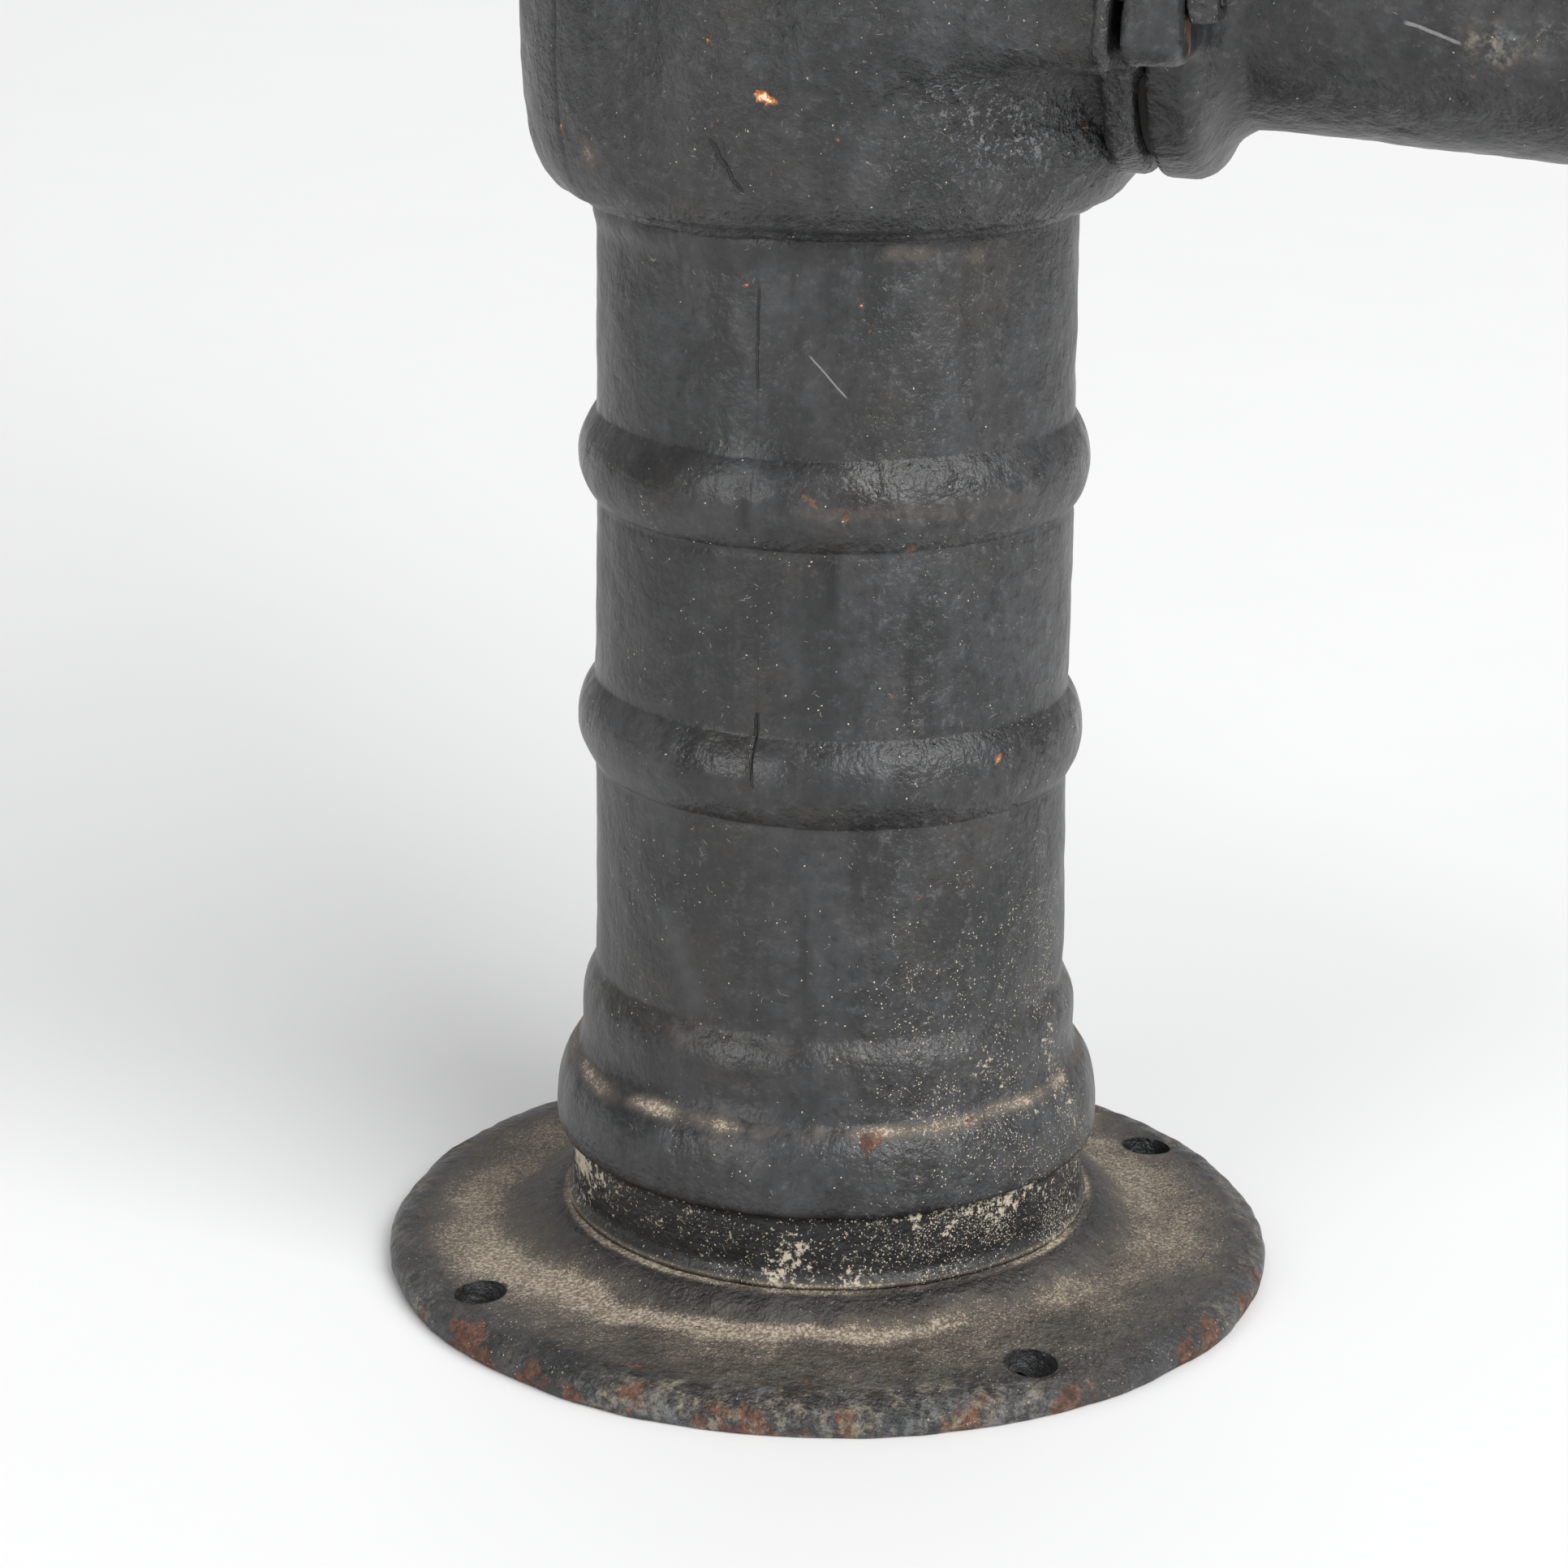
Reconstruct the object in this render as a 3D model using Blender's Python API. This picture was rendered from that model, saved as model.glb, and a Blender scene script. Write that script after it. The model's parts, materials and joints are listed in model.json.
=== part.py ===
"""Hand well pump: a lift pump on a cast column, as separate solids on their real joints.

Metres, +Z up. The origin is on the column's axis, at the underside of the base flange.
The spout points along +X. The lever hangs down on the -X side, its lowest position.
"""

import math

import bpy
import bmesh
from mathutils import Matrix, Vector

GAP = 0.0003  # clearance between pieces that touch
LARGE = 28  # sides of a large round piece
MEDIUM = 24
SMALL = 16

# Base flange
BASE_RADIUS = 0.140
BASE_HOLE_CIRCLE = 0.1225
BASE_HOLE_RADIUS = 0.008
HUB_TOP = 0.021
SPIGOT_RADIUS = 0.0757
SPIGOT_SEAT = 0.006
BASE_BORE = 0.058

# Column and what it holds
COLUMN_TOP = 0.372
COLUMN_MEAN_RADIUS = 0.0724
COLUMN_TAPER = 0.00436  # radius lost per metre of height
BANDS = ((0.2754, 0.2478), (0.1915, 0.1640))  # top and bottom of each raised band
BAND_CREST = 0.0052
SUCTION_RADIUS = 0.026
FLOOR_TOP = 0.024
CHAMBER_RADIUS = 0.058
LINER_SEAT = 0.104
LINER_TOP = 0.332
LINER_BORE = 0.057
LINER_RADIUS = 0.060

# Pump body
BODY_RADIUS = 0.0938
BODY_BORE = 0.0838
BODY_LIP = 0.336
RIM_RADIUS = 0.116
RIM_TOP = 0.640
BODY_BEAD = (0.592, 0.574)  # top and bottom of the bead under the rim
BODY_BEAD_CREST = 0.004

# Outlet joint and spout
OUTLET_HEIGHT = 0.417
OUTLET_BORE = 0.040
OUTLET_FACE = 0.1007  # where the body's flange ends along X
OUTLET_FLANGE = 0.0041
SPOUT_FACE = 0.1040  # where the spout's flange starts
OUTLET_FLANGE_RADIUS = 0.067
EAR_REACH = 0.100
EAR_HALF_HEIGHT = 0.023
EAR_CORNER = 0.010
STUD_OFFSET = 0.085
STUD_RADIUS = 0.005
SPOUT_RADIUS = 0.0515
SPOUT_MOUTH_RADIUS = 0.046
SPOUT_WALL = 0.009
SPOUT_FALL = math.radians(3.7)
SPOUT_STRAIGHT = 0.141
SPOUT_BEND_RADIUS = 0.085
SPOUT_MOUTH_TILT = math.radians(78.0)
SPOUT_MOUTH_LENGTH = 0.030

# Cap, rod seal and lever pivot
CAP_BOTTOM = RIM_TOP + 0.002 + GAP
CAP_BOLT_CIRCLE = 0.1045
CAP_BOLT_RADIUS = 0.005
CAP_FLANGE_TOP = 0.654
BOX_TOP = 0.716
ROD_RADIUS = 0.007
FULCRUM_X = -0.095
FULCRUM_Z = 0.830
FULCRUM_PIN_RADIUS = 0.009
ARM_INNER = 0.013
ARM_OUTER = 0.025

# Lever and its linkage. The lever swings equally above and below level.
SWING = math.radians(22.0)
LEVER_HALF_WIDTH = 0.012
ROD_ARM = -FULCRUM_X
PIN_RADIUS = 0.008
PIN_HEIGHT = FULCRUM_Z + ROD_ARM * math.tan(SWING)
SLOT_CLEARANCE = 0.0012
LEVER_DEPTH_AT_STOP = 0.0243  # half depth of the lever where it comes down on its stop
PISTON_BOTTOM = 0.200

FULCRUM = Vector((FULCRUM_X, 0.0, FULCRUM_Z))
ALONG_X = Matrix.Rotation(math.radians(90.0), 4, "Y")
ALONG_Y = Matrix.Rotation(math.radians(-90.0), 4, "X")


# Building blocks


def clear_scene():
    for obj in list(bpy.data.objects):
        bpy.data.objects.remove(obj, do_unlink=True)


def finish(name, colour, roughness, metallic):
    """A plain Principled material."""
    material = bpy.data.materials.new(name)
    material.use_nodes = True
    shader = material.node_tree.nodes["Principled BSDF"]
    shader.inputs["Base Color"].default_value = (*colour, 1.0)
    shader.inputs["Roughness"].default_value = roughness
    shader.inputs["Metallic"].default_value = metallic
    return material


def circle(radius, z, sides=LARGE):
    angles = [math.tau * i / sides for i in range(sides)]
    return [Vector((radius * math.cos(a), radius * math.sin(a), z)) for a in angles]


def polygon(half, z, corners, sides=SMALL):
    """A regular polygon of this half width across its flats, with as many points as a circle."""
    points = []
    for i in range(sides):
        angle = math.tau * i / sides
        sector = math.tau / corners
        reach = half / math.cos((angle + sector / 2) % sector - sector / 2)
        points.append(Vector((reach * math.cos(angle), reach * math.sin(angle), z)))
    return points


def winged(core, tip, z, sides=MEDIUM):
    """A round core with three thin guide wings."""
    points = circle(core, z, sides)
    for i in range(0, sides, sides // 3):
        points[i] = points[i] * (tip / core)
        points[i].z = z
    return points


def rounded_rectangle(half_a, half_b, corner, steps=3):
    points = []
    for quarter in range(4):
        sign_a = 1 if quarter in (0, 3) else -1
        sign_b = 1 if quarter in (0, 1) else -1
        for i in range(steps + 1):
            angle = math.pi / 2 * (quarter + i / steps)
            a = sign_a * (half_a - corner) + corner * math.cos(angle)
            b = sign_b * (half_b - corner) + corner * math.sin(angle)
            points.append((a, b))
    return points


def plate_x(outline, low, high):
    """Two rings of a plate whose outline lies in Y and Z."""
    return [[Vector((x, y, z)) for y, z in outline] for x in (low, high)]


def plate_y(outline, low, high):
    """Two rings of a plate whose outline lies in X and Z."""
    return [[Vector((x, y, z)) for x, z in outline] for y in (low, high)]


def loft(name, rings, material, hollow=False, turn=None, at=(0, 0, 0), parent=None):
    """A closed solid through rings of equal count. A hollow one joins its last ring to its first."""
    mesh = bmesh.new()
    layers = [[mesh.verts.new(point) for point in ring] for ring in rings]
    pairs = list(zip(layers, layers[1:]))
    if hollow:
        pairs.append((layers[-1], layers[0]))
    else:
        mesh.faces.new(layers[0])
        mesh.faces.new(layers[-1])
    for one, other in pairs:
        for i in range(len(one)):
            j = (i + 1) % len(one)
            mesh.faces.new((one[i], one[j], other[j], other[i]))
    bmesh.ops.recalc_face_normals(mesh, faces=mesh.faces)
    data = bpy.data.meshes.new(name)
    mesh.to_mesh(data)
    mesh.free()
    data.materials.append(material)
    data.shade_smooth()
    data.set_sharp_from_angle(angle=math.radians(35.0))
    obj = bpy.data.objects.new(name, data)
    bpy.context.scene.collection.objects.link(obj)
    obj.parent = parent
    obj.matrix_basis = Matrix.Translation(at) @ (turn or Matrix())
    return obj


def turned(name, outline, material, sides=LARGE, **placing):
    """A solid of revolution about its own Z axis, from (radius, height) pairs."""
    return loft(name, [circle(radius, z, sides) for radius, z in outline], material, **placing)


def tube(name, bore, radius, bottom, top, material, sides=LARGE, **placing):
    outline = ((radius, top), (radius, bottom), (bore, bottom), (bore, top))
    return turned(name, outline, material, sides, hollow=True, **placing)


def combine(target, tool, operation):
    """Joins the tool to the target, or cuts it from it, and hides the tool."""
    tool.hide_render = True
    tool.display_type = "WIRE"
    modifier = target.modifiers.new(tool.name, "BOOLEAN")
    modifier.operation = operation
    modifier.object = tool


def join(target, *tools):
    for tool in tools:
        combine(target, tool, "UNION")


def cut(target, *tools):
    for tool in tools:
        combine(target, tool, "DIFFERENCE")


def joint_empty(name, place):
    empty = bpy.data.objects.new(name, None)
    bpy.context.scene.collection.objects.link(empty)
    empty.location = place
    return empty


def swept_rings(path, radii, sides):
    """Rings along a path in the XZ plane, each square to the path."""
    rings = []
    for i, (point, radius) in enumerate(zip(path, radii)):
        before = path[max(i - 1, 0)]
        after = path[min(i + 1, len(path) - 1)]
        ahead = (after - before).normalized()
        up = Vector((-ahead.z, 0.0, ahead.x))
        angles = [math.tau * k / sides for k in range(sides)]
        side = Vector((0.0, 1.0, 0.0))
        rings.append([point + radius * (math.cos(a) * side + math.sin(a) * up) for a in angles])
    return rings


def bezier(points, steps):
    """Points along a cubic curve, without its first point."""
    a, b, c, d = points
    curve = []
    for i in range(1, steps + 1):
        t = i / steps
        curve.append(a * (1 - t) ** 3 + b * 3 * t * (1 - t) ** 2 + c * 3 * t * t * (1 - t) + d * t**3)
    return curve


# Base flange


def base_flange(iron):
    top = [(SPIGOT_RADIUS + GAP, HUB_TOP), (0.0835, HUB_TOP), (0.0875, 0.0195), (0.092, 0.016)]
    top += [(0.096, 0.013), (0.101, 0.0118), (0.112, 0.0112), (0.124, 0.0104)]
    rim = [(0.132, 0.0096), (0.137, 0.0078), (0.1394, 0.0048), (BASE_RADIUS, 0.0022), (0.1388, 0.0)]
    underside = [(0.116, 0.0), (0.114, 0.004), (0.066, 0.004), (0.064, 0.0), (BASE_BORE, 0.0)]
    seat = [(BASE_BORE, SPIGOT_SEAT), (SPIGOT_RADIUS + GAP, SPIGOT_SEAT)]
    flange = turned("base_flange", top + rim + underside + seat, iron, hollow=True)
    for i in range(4):
        angle = math.radians(45.0 + 90.0 * i)
        hole = turned(f"base_hole_{i + 1}", [(BASE_HOLE_RADIUS, 0.03), (BASE_HOLE_RADIUS, -0.01)], iron, SMALL)
        hole.location = BASE_HOLE_CIRCLE * Vector((math.cos(angle), math.sin(angle), 0.0))
        cut(flange, hole)


# Column


def column_radius(z):
    return COLUMN_MEAN_RADIUS - COLUMN_TAPER * (z - 0.2)


def band(top, bottom, crest, radius_at, steps=6):
    """A raised band's arched outline on a round wall, from its top to its bottom."""
    points = []
    for i in range(steps + 1):
        turn = math.pi * i / steps
        z = (top + bottom) / 2 + (top - bottom) / 2 * math.cos(turn)
        points.append((radius_at(z) + crest * math.sin(turn) ** 2, z))
    return points


def column(iron):
    shaft = [(column_radius(COLUMN_TOP), COLUMN_TOP)]
    for top, bottom in BANDS:
        shaft += band(top, bottom, BAND_CREST, column_radius)
    step = [(0.0730, 0.0980), (0.0742, 0.0958), (0.0762, 0.0915), (0.0768, 0.0880), (0.0768, 0.0765)]
    collar = [(0.0775, 0.0745), (0.0800, 0.0705), (0.0825, 0.0665), (0.0842, 0.0610), (0.0849, 0.0550)]
    collar += [(0.0849, 0.0500), (0.0846, 0.0455)]
    foot = [(0.0813, 0.0445), (0.0805, 0.0245), (0.0822, 0.0236), (0.0822, HUB_TOP + GAP)]
    spigot = [(SPIGOT_RADIUS, HUB_TOP + GAP), (SPIGOT_RADIUS, SPIGOT_SEAT + GAP)]
    floor = [(SUCTION_RADIUS, SPIGOT_SEAT + GAP), (SUCTION_RADIUS, FLOOR_TOP), (CHAMBER_RADIUS, FLOOR_TOP)]
    bore = [(CHAMBER_RADIUS, LINER_SEAT), (LINER_RADIUS + GAP, LINER_SEAT), (LINER_RADIUS + GAP, COLUMN_TOP)]
    turned("column", shaft + step + collar + foot + spigot + floor + bore, iron, hollow=True)


def cylinder_parts(iron, brass):
    tube("suction_bush", 0.020, SUCTION_RADIUS - GAP, 0.001, FLOOR_TOP - 0.001, iron, MEDIUM)
    tube("cylinder_liner", LINER_BORE, LINER_RADIUS, LINER_SEAT + GAP, LINER_TOP, brass)
    seat_bottom = FLOOR_TOP + GAP
    tube("foot_valve_seat", 0.020, CHAMBER_RADIUS - GAP, seat_bottom, seat_bottom + 0.008, brass)
    leg_foot = seat_bottom + 0.008 + GAP
    arch = [(-0.048, leg_foot), (-0.040, leg_foot), (-0.040, 0.066), (0.040, 0.066), (0.040, leg_foot)]
    arch += [(0.048, leg_foot), (0.048, 0.070), (0.044, 0.073), (-0.044, 0.073), (-0.048, 0.070)]
    loft("foot_valve_guard", plate_y(arch, -0.006, 0.006), brass)


# Pump body


def pump_body(iron):
    rim = [(RIM_RADIUS, RIM_TOP), (RIM_RADIUS, 0.626), (0.113, 0.622), (0.100, 0.6155), (0.0955, 0.611)]
    bead = band(*BODY_BEAD, BODY_BEAD_CREST, lambda z: BODY_RADIUS, 4)
    wall = [(BODY_RADIUS, 0.603)] + bead + [(BODY_RADIUS, 0.380), (0.0929, 0.369), (0.0914, 0.3585)]
    bowl = [(0.0898, 0.3530), (0.0879, 0.3489), (0.0841, 0.3440), (0.0797, 0.3400), (0.0775, 0.3370)]
    body = turned("pump_body", rim + wall + bowl + [(0.0762, BODY_LIP)], iron)

    neck = [(0.060, 0.050), (0.060, 0.078), (0.0625, 0.088), (0.0655, 0.0945)]
    neck += [(OUTLET_FLANGE_RADIUS, OUTLET_FACE - OUTLET_FLANGE), (OUTLET_FLANGE_RADIUS, OUTLET_FACE)]
    placing = {"turn": ALONG_X, "at": (0, 0, OUTLET_HEIGHT)}
    join(body, turned("outlet_neck", neck, iron, **placing))
    ear = rounded_rectangle(EAR_REACH, EAR_HALF_HEIGHT, EAR_CORNER)
    boss = rounded_rectangle(EAR_REACH - 0.007, EAR_HALF_HEIGHT - 0.001, EAR_CORNER)
    level = {"at": (0, 0, OUTLET_HEIGHT)}
    join(body, loft("outlet_ears", plate_x(ear, OUTLET_FACE - OUTLET_FLANGE, OUTLET_FACE), iron, **level))
    join(body, loft("outlet_bosses", plate_x(boss, 0.020, OUTLET_FACE - 0.002), iron, **level))

    socket = column_radius(BODY_LIP) + GAP
    inside = [(BODY_BORE, RIM_TOP + 0.005), (BODY_BORE, 0.408), (0.070, 0.392), (0.062, 0.384)]
    inside += [(0.062, COLUMN_TOP + 0.002), (socket, COLUMN_TOP + 0.002), (socket, 0.3415)]
    inside += [(0.0750, 0.3405), (0.0750, BODY_LIP - 0.005)]
    cut(body, turned("body_cavity", inside, iron))
    passage = [(OUTLET_BORE, 0.050), (OUTLET_BORE, OUTLET_FACE + 0.005)]
    cut(body, turned("outlet_passage", passage, iron, MEDIUM, **placing))
    for side in (-1, 1):
        hole = [(STUD_RADIUS + GAP, 0.0697), (STUD_RADIUS + GAP, OUTLET_FACE + 0.005)]
        at = (0, side * STUD_OFFSET, OUTLET_HEIGHT)
        cut(body, turned(f"body_stud_hole_{side}", hole, iron, SMALL, turn=ALONG_X, at=at))
    for i, at in enumerate(cap_bolt_places()):
        hole = [(CAP_BOLT_RADIUS + GAP, RIM_TOP - 0.014), (CAP_BOLT_RADIUS + GAP, RIM_TOP + 0.01)]
        cut(body, turned(f"rim_hole_{i + 1}", hole, iron, SMALL, at=at))


def cap_bolt_places():
    angles = [math.radians(45.0 + 90.0 * i) for i in range(4)]
    return [CAP_BOLT_CIRCLE * Vector((math.cos(a), math.sin(a), 0.0)) for a in angles]


# Spout and its joint


def spout_path():
    """The pipe's centre line from its flange: a falling straight, a bend and a short drop."""
    start = Vector((0.136, 0.0, OUTLET_HEIGHT))
    ahead = Vector((math.cos(SPOUT_FALL), 0.0, -math.sin(SPOUT_FALL)))
    bend_start = start + ahead * (SPOUT_STRAIGHT - 0.015)
    centre = bend_start - SPOUT_BEND_RADIUS * Vector((math.sin(SPOUT_FALL), 0.0, math.cos(SPOUT_FALL)))
    path = [start, start + ahead * 0.063]
    steps = 9
    for i in range(steps + 1):
        tilt = SPOUT_FALL + (SPOUT_MOUTH_TILT - SPOUT_FALL) * i / steps
        path.append(centre + SPOUT_BEND_RADIUS * Vector((math.sin(tilt), 0.0, math.cos(tilt))))
    drop = Vector((math.cos(SPOUT_MOUTH_TILT), 0.0, -math.sin(SPOUT_MOUTH_TILT)))
    path.append(path[-1] + drop * (SPOUT_MOUTH_LENGTH - 0.012))
    return path, drop


def spout(iron):
    path, drop = spout_path()
    last = len(path) - 1
    radii = [SPOUT_RADIUS + (SPOUT_MOUTH_RADIUS - SPOUT_RADIUS) * i / last for i in range(last + 1)]
    flange = [(0.0655, SPOUT_FACE), (OUTLET_FLANGE_RADIUS, 0.1055), (OUTLET_FLANGE_RADIUS, 0.1195)]
    flange += [(0.0655, 0.1225), (0.061, 0.125), (0.0565, 0.1275), (0.0525, 0.131)]
    flange_path = [Vector((x, 0.0, OUTLET_HEIGHT)) for _, x in flange]
    flange_rings = swept_rings(flange_path, [radius for radius, _ in flange], LARGE)
    mouth = path[-1] + drop * 0.012
    bead = [path[-1] + drop * 0.001, mouth - drop * 0.001, mouth]
    bead_radii = [SPOUT_MOUTH_RADIUS + 0.003, SPOUT_MOUTH_RADIUS + 0.003, SPOUT_MOUTH_RADIUS + 0.002]
    pipe_rings = swept_rings(path + bead, radii + bead_radii, LARGE)
    body = loft("spout", flange_rings + pipe_rings, iron)

    ear = rounded_rectangle(EAR_REACH, EAR_HALF_HEIGHT, EAR_CORNER)
    ears = plate_x(ear, SPOUT_FACE, 0.1195)
    join(body, loft("spout_ears", ears, iron, at=(0, 0, OUTLET_HEIGHT)))
    ahead = Vector((math.cos(SPOUT_FALL), 0.0, -math.sin(SPOUT_FALL)))
    hollow = [path[0] - ahead * 0.040] + path + [mouth + drop * 0.010]
    bores = [OUTLET_BORE] + [radius - SPOUT_WALL for radius in radii] + [SPOUT_MOUTH_RADIUS - SPOUT_WALL]
    cut(body, loft("spout_bore", swept_rings(hollow, bores, MEDIUM), iron))
    for side in (-1, 1):
        hole = [(STUD_RADIUS + GAP, SPOUT_FACE - 0.005), (STUD_RADIUS + GAP, 0.130)]
        at = (0, side * STUD_OFFSET, OUTLET_HEIGHT)
        cut(body, turned(f"spout_stud_hole_{side}", hole, iron, SMALL, turn=ALONG_X, at=at))


def outlet_joint(steel, leather):
    at = (0, 0, OUTLET_HEIGHT)
    low, high = OUTLET_FACE + GAP, SPOUT_FACE - GAP
    tube("outlet_gasket", OUTLET_BORE, 0.060, low, high, leather, MEDIUM, turn=ALONG_X, at=at)
    nut_bottom = 0.1195 + GAP
    for name, side in (("front", -1), ("back", 1)):
        at = (0, side * STUD_OFFSET, OUTLET_HEIGHT)
        stud = [(STUD_RADIUS, 0.070), (STUD_RADIUS, 0.132), (0.004, 0.133)]
        turned(f"outlet_stud_{name}", stud, steel, SMALL, turn=ALONG_X, at=at)
        rings = [polygon(0.009, nut_bottom, 4), polygon(0.009, nut_bottom + 0.0085, 4)]
        rings += [circle(STUD_RADIUS + GAP, nut_bottom + 0.0085, SMALL)]
        rings += [circle(STUD_RADIUS + GAP, nut_bottom, SMALL)]
        loft(f"outlet_nut_{name}", rings, steel, hollow=True, turn=ALONG_X, at=at)


# Cap, its screws and the rod's seal


def arm_outline():
    """One arm of the lever's bracket: a tapered post with a round eye."""
    eye = 0.020
    points = [(-0.108, 0.650), (-0.058, 0.650), (-0.064, 0.690), (-0.0735, 0.760)]
    for i in range(9):
        angle = math.radians(-10.0 + 200.0 * i / 8)
        points.append((FULCRUM_X + eye * math.cos(angle), FULCRUM_Z + eye * math.sin(angle)))
    return points + [(-0.1145, 0.760), (-0.110, 0.690)]


def lever_underside(x):
    """Height of the lever's lower edge at rest, near its eye."""
    return FULCRUM_Z + (x - FULCRUM_X) * math.tan(SWING) - LEVER_DEPTH_AT_STOP / math.cos(SWING)


def top_cap(iron):
    flange = [(RIM_RADIUS, CAP_BOTTOM), (RIM_RADIUS, 0.651), (0.1135, CAP_FLANGE_TOP)]
    dome = [(0.095, CAP_FLANGE_TOP), (0.090, 0.658), (0.084, 0.668), (0.072, 0.679), (0.056, 0.688)]
    neck = [(0.040, 0.693), (0.033, 0.697), (0.0315, 0.704), (0.0315, 0.714), (0.0300, BOX_TOP)]
    cap = turned("top_cap", flange + dome + neck, iron)
    for side in (-1, 1):
        low, high = sorted((side * ARM_INNER, side * ARM_OUTER))
        join(cap, loft(f"cap_arm_{side}", plate_y(arm_outline(), low, high), iron))
    stop_top = [(-0.106, lever_underside(-0.106) - 0.0008), (-0.118, lever_underside(-0.118) - 0.0008)]
    stop = [(-0.113, 0.740), (-0.103, 0.740)] + stop_top
    join(cap, loft("lever_stop", plate_y(stop, -ARM_INNER - 0.004, ARM_INNER + 0.004), iron))
    web = [(-0.108, 0.650), (-0.062, 0.650), (-0.070, 0.710), (-0.108, 0.710)]
    join(cap, loft("cap_web", plate_y(web, -ARM_INNER - 0.004, ARM_INNER + 0.004), iron))
    inside = [(0.080, CAP_BOTTOM - 0.005), (0.080, 0.650), (0.074, 0.661), (0.060, 0.671)]
    inside += [(0.040, 0.678), (0.0128, 0.680), (0.0128, 0.696), (0.0170, 0.696), (0.0170, BOX_TOP + 0.005)]
    cut(cap, turned("cap_cavity", inside, iron))
    pin_hole = [(FULCRUM_PIN_RADIUS + GAP, -0.04), (FULCRUM_PIN_RADIUS + GAP, 0.04)]
    cut(cap, turned("arm_holes", pin_hole, iron, SMALL, turn=ALONG_Y, at=FULCRUM))
    for i, at in enumerate(cap_bolt_places()):
        hole = [(CAP_BOLT_RADIUS + GAP, CAP_BOTTOM - 0.01), (CAP_BOLT_RADIUS + GAP, CAP_FLANGE_TOP + 0.01)]
        cut(cap, turned(f"cap_hole_{i + 1}", hole, iron, SMALL, at=at))


def cap_parts(steel, brass, leather, hemp):
    tube("body_gasket", 0.0625, 0.0712, COLUMN_TOP + GAP, COLUMN_TOP + 0.002 - GAP, leather, MEDIUM)
    tube("cap_gasket", BODY_BORE, 0.096, RIM_TOP + GAP, CAP_BOTTOM - GAP, leather, MEDIUM)
    for i, at in enumerate(cap_bolt_places()):
        head = CAP_FLANGE_TOP + GAP
        rings = [circle(CAP_BOLT_RADIUS, RIM_TOP - 0.012, SMALL), circle(CAP_BOLT_RADIUS, head, SMALL)]
        rings += [polygon(0.0085, head, 4), polygon(0.0085, head + 0.007, 4)]
        loft(f"cap_bolt_{i + 1}", rings, steel, at=at, turn=Matrix.Rotation(math.radians(45.0), 4, "Z"))
    bore = ROD_RADIUS + GAP
    tube("rod_bush", bore, 0.0128 - GAP, 0.6803, 0.6957, brass, SMALL)
    tube("gland_packing", bore, 0.0170 - GAP, 0.6963, 0.7080, hemp, SMALL)
    shoulder, top = BOX_TOP + GAP, BOX_TOP + 0.010
    rings = [circle(0.0167, 0.7083, MEDIUM), circle(0.0167, shoulder, MEDIUM)]
    rings += [polygon(0.021, shoulder, 6, MEDIUM), polygon(0.021, top, 6, MEDIUM)]
    rings += [circle(bore, top, MEDIUM), circle(bore, 0.7083, MEDIUM)]
    loft("gland_nut", rings, brass, hollow=True)


def headed_pin(name, radius, head_radius, head, tip, cotter_y, steel, **placing):
    """A pin along Y with a round head at its front end and a cross hole near its tip."""
    outline = [(head_radius, head - 0.006), (head_radius, head), (radius, head)]
    outline += [(radius, tip - 0.001), (radius - 0.001, tip)]
    pin = turned(name, outline, steel, SMALL, turn=ALONG_Y, **placing)
    hole = turned(f"{name}_cross_hole", [(0.0021, -0.02), (0.0021, 0.02)], steel, 12)
    hole.location = Vector(placing.get("at", (0, 0, 0))) + Vector((0, cotter_y, 0))
    hole.parent = placing.get("parent")
    cut(pin, hole)


def cotter(name, length, at, steel, parent=None):
    """A split pin: a round shank with a flattened loop for its head."""
    shank = [(0.0016, -length / 2), (0.0016, length / 2)]
    head = [(0.0032, length / 2 + 0.0012), (0.0036, length / 2 + 0.003), (0.0022, length / 2 + 0.005)]
    turned(name, shank + head, steel, 12, at=at, parent=parent)


# Lever


def lever_stations():
    """Centre, half depth, half width and squareness of each section, from the rod end to the knob."""
    along = Vector((math.cos(SWING), 0.0, math.sin(SWING)))
    head = ((0.128, 0.009), (0.124, 0.0155), (0.116, 0.0185), (0.084, 0.0185), (0.066, 0.0165))
    eye = ((0.040, 0.0170), (0.022, 0.0225), (0.000, 0.0260), (-0.022, 0.0225), (-0.045, 0.0190))
    stations = [(along * s, depth, LEVER_HALF_WIDTH, 6.0) for s, depth in head + eye]
    start = stations[-1][0]
    turn_down = [start, start - along * 0.130, Vector((-0.242, 0, -0.165)), Vector((-0.252, 0, -0.300))]
    bar = bezier(turn_down, 8)
    for i, point in enumerate(bar):
        t = (i + 1) / len(bar)
        stations.append((point, 0.0190 - 0.0050 * t, LEVER_HALF_WIDTH - 0.0005 * t, 6.0 - 3.5 * t))
    grip = bezier([bar[-1], Vector((-0.253, 0, -0.345)), Vector((-0.258, 0, -0.372)), Vector((-0.269, 0, -0.393))], 4)
    for i, point in enumerate(grip):
        stations.append((point, 0.0140 - 0.0004 * i, 0.0120, 2.2))
    ahead = (grip[-1] - grip[-2]).normalized()
    for reach, radius in ((0.004, 0.0165), (0.012, 0.0205), (0.022, 0.0205), (0.031, 0.0150), (0.034, 0.007)):
        stations.append((grip[-1] + ahead * reach, radius, radius, 2.0))
    return stations


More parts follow.
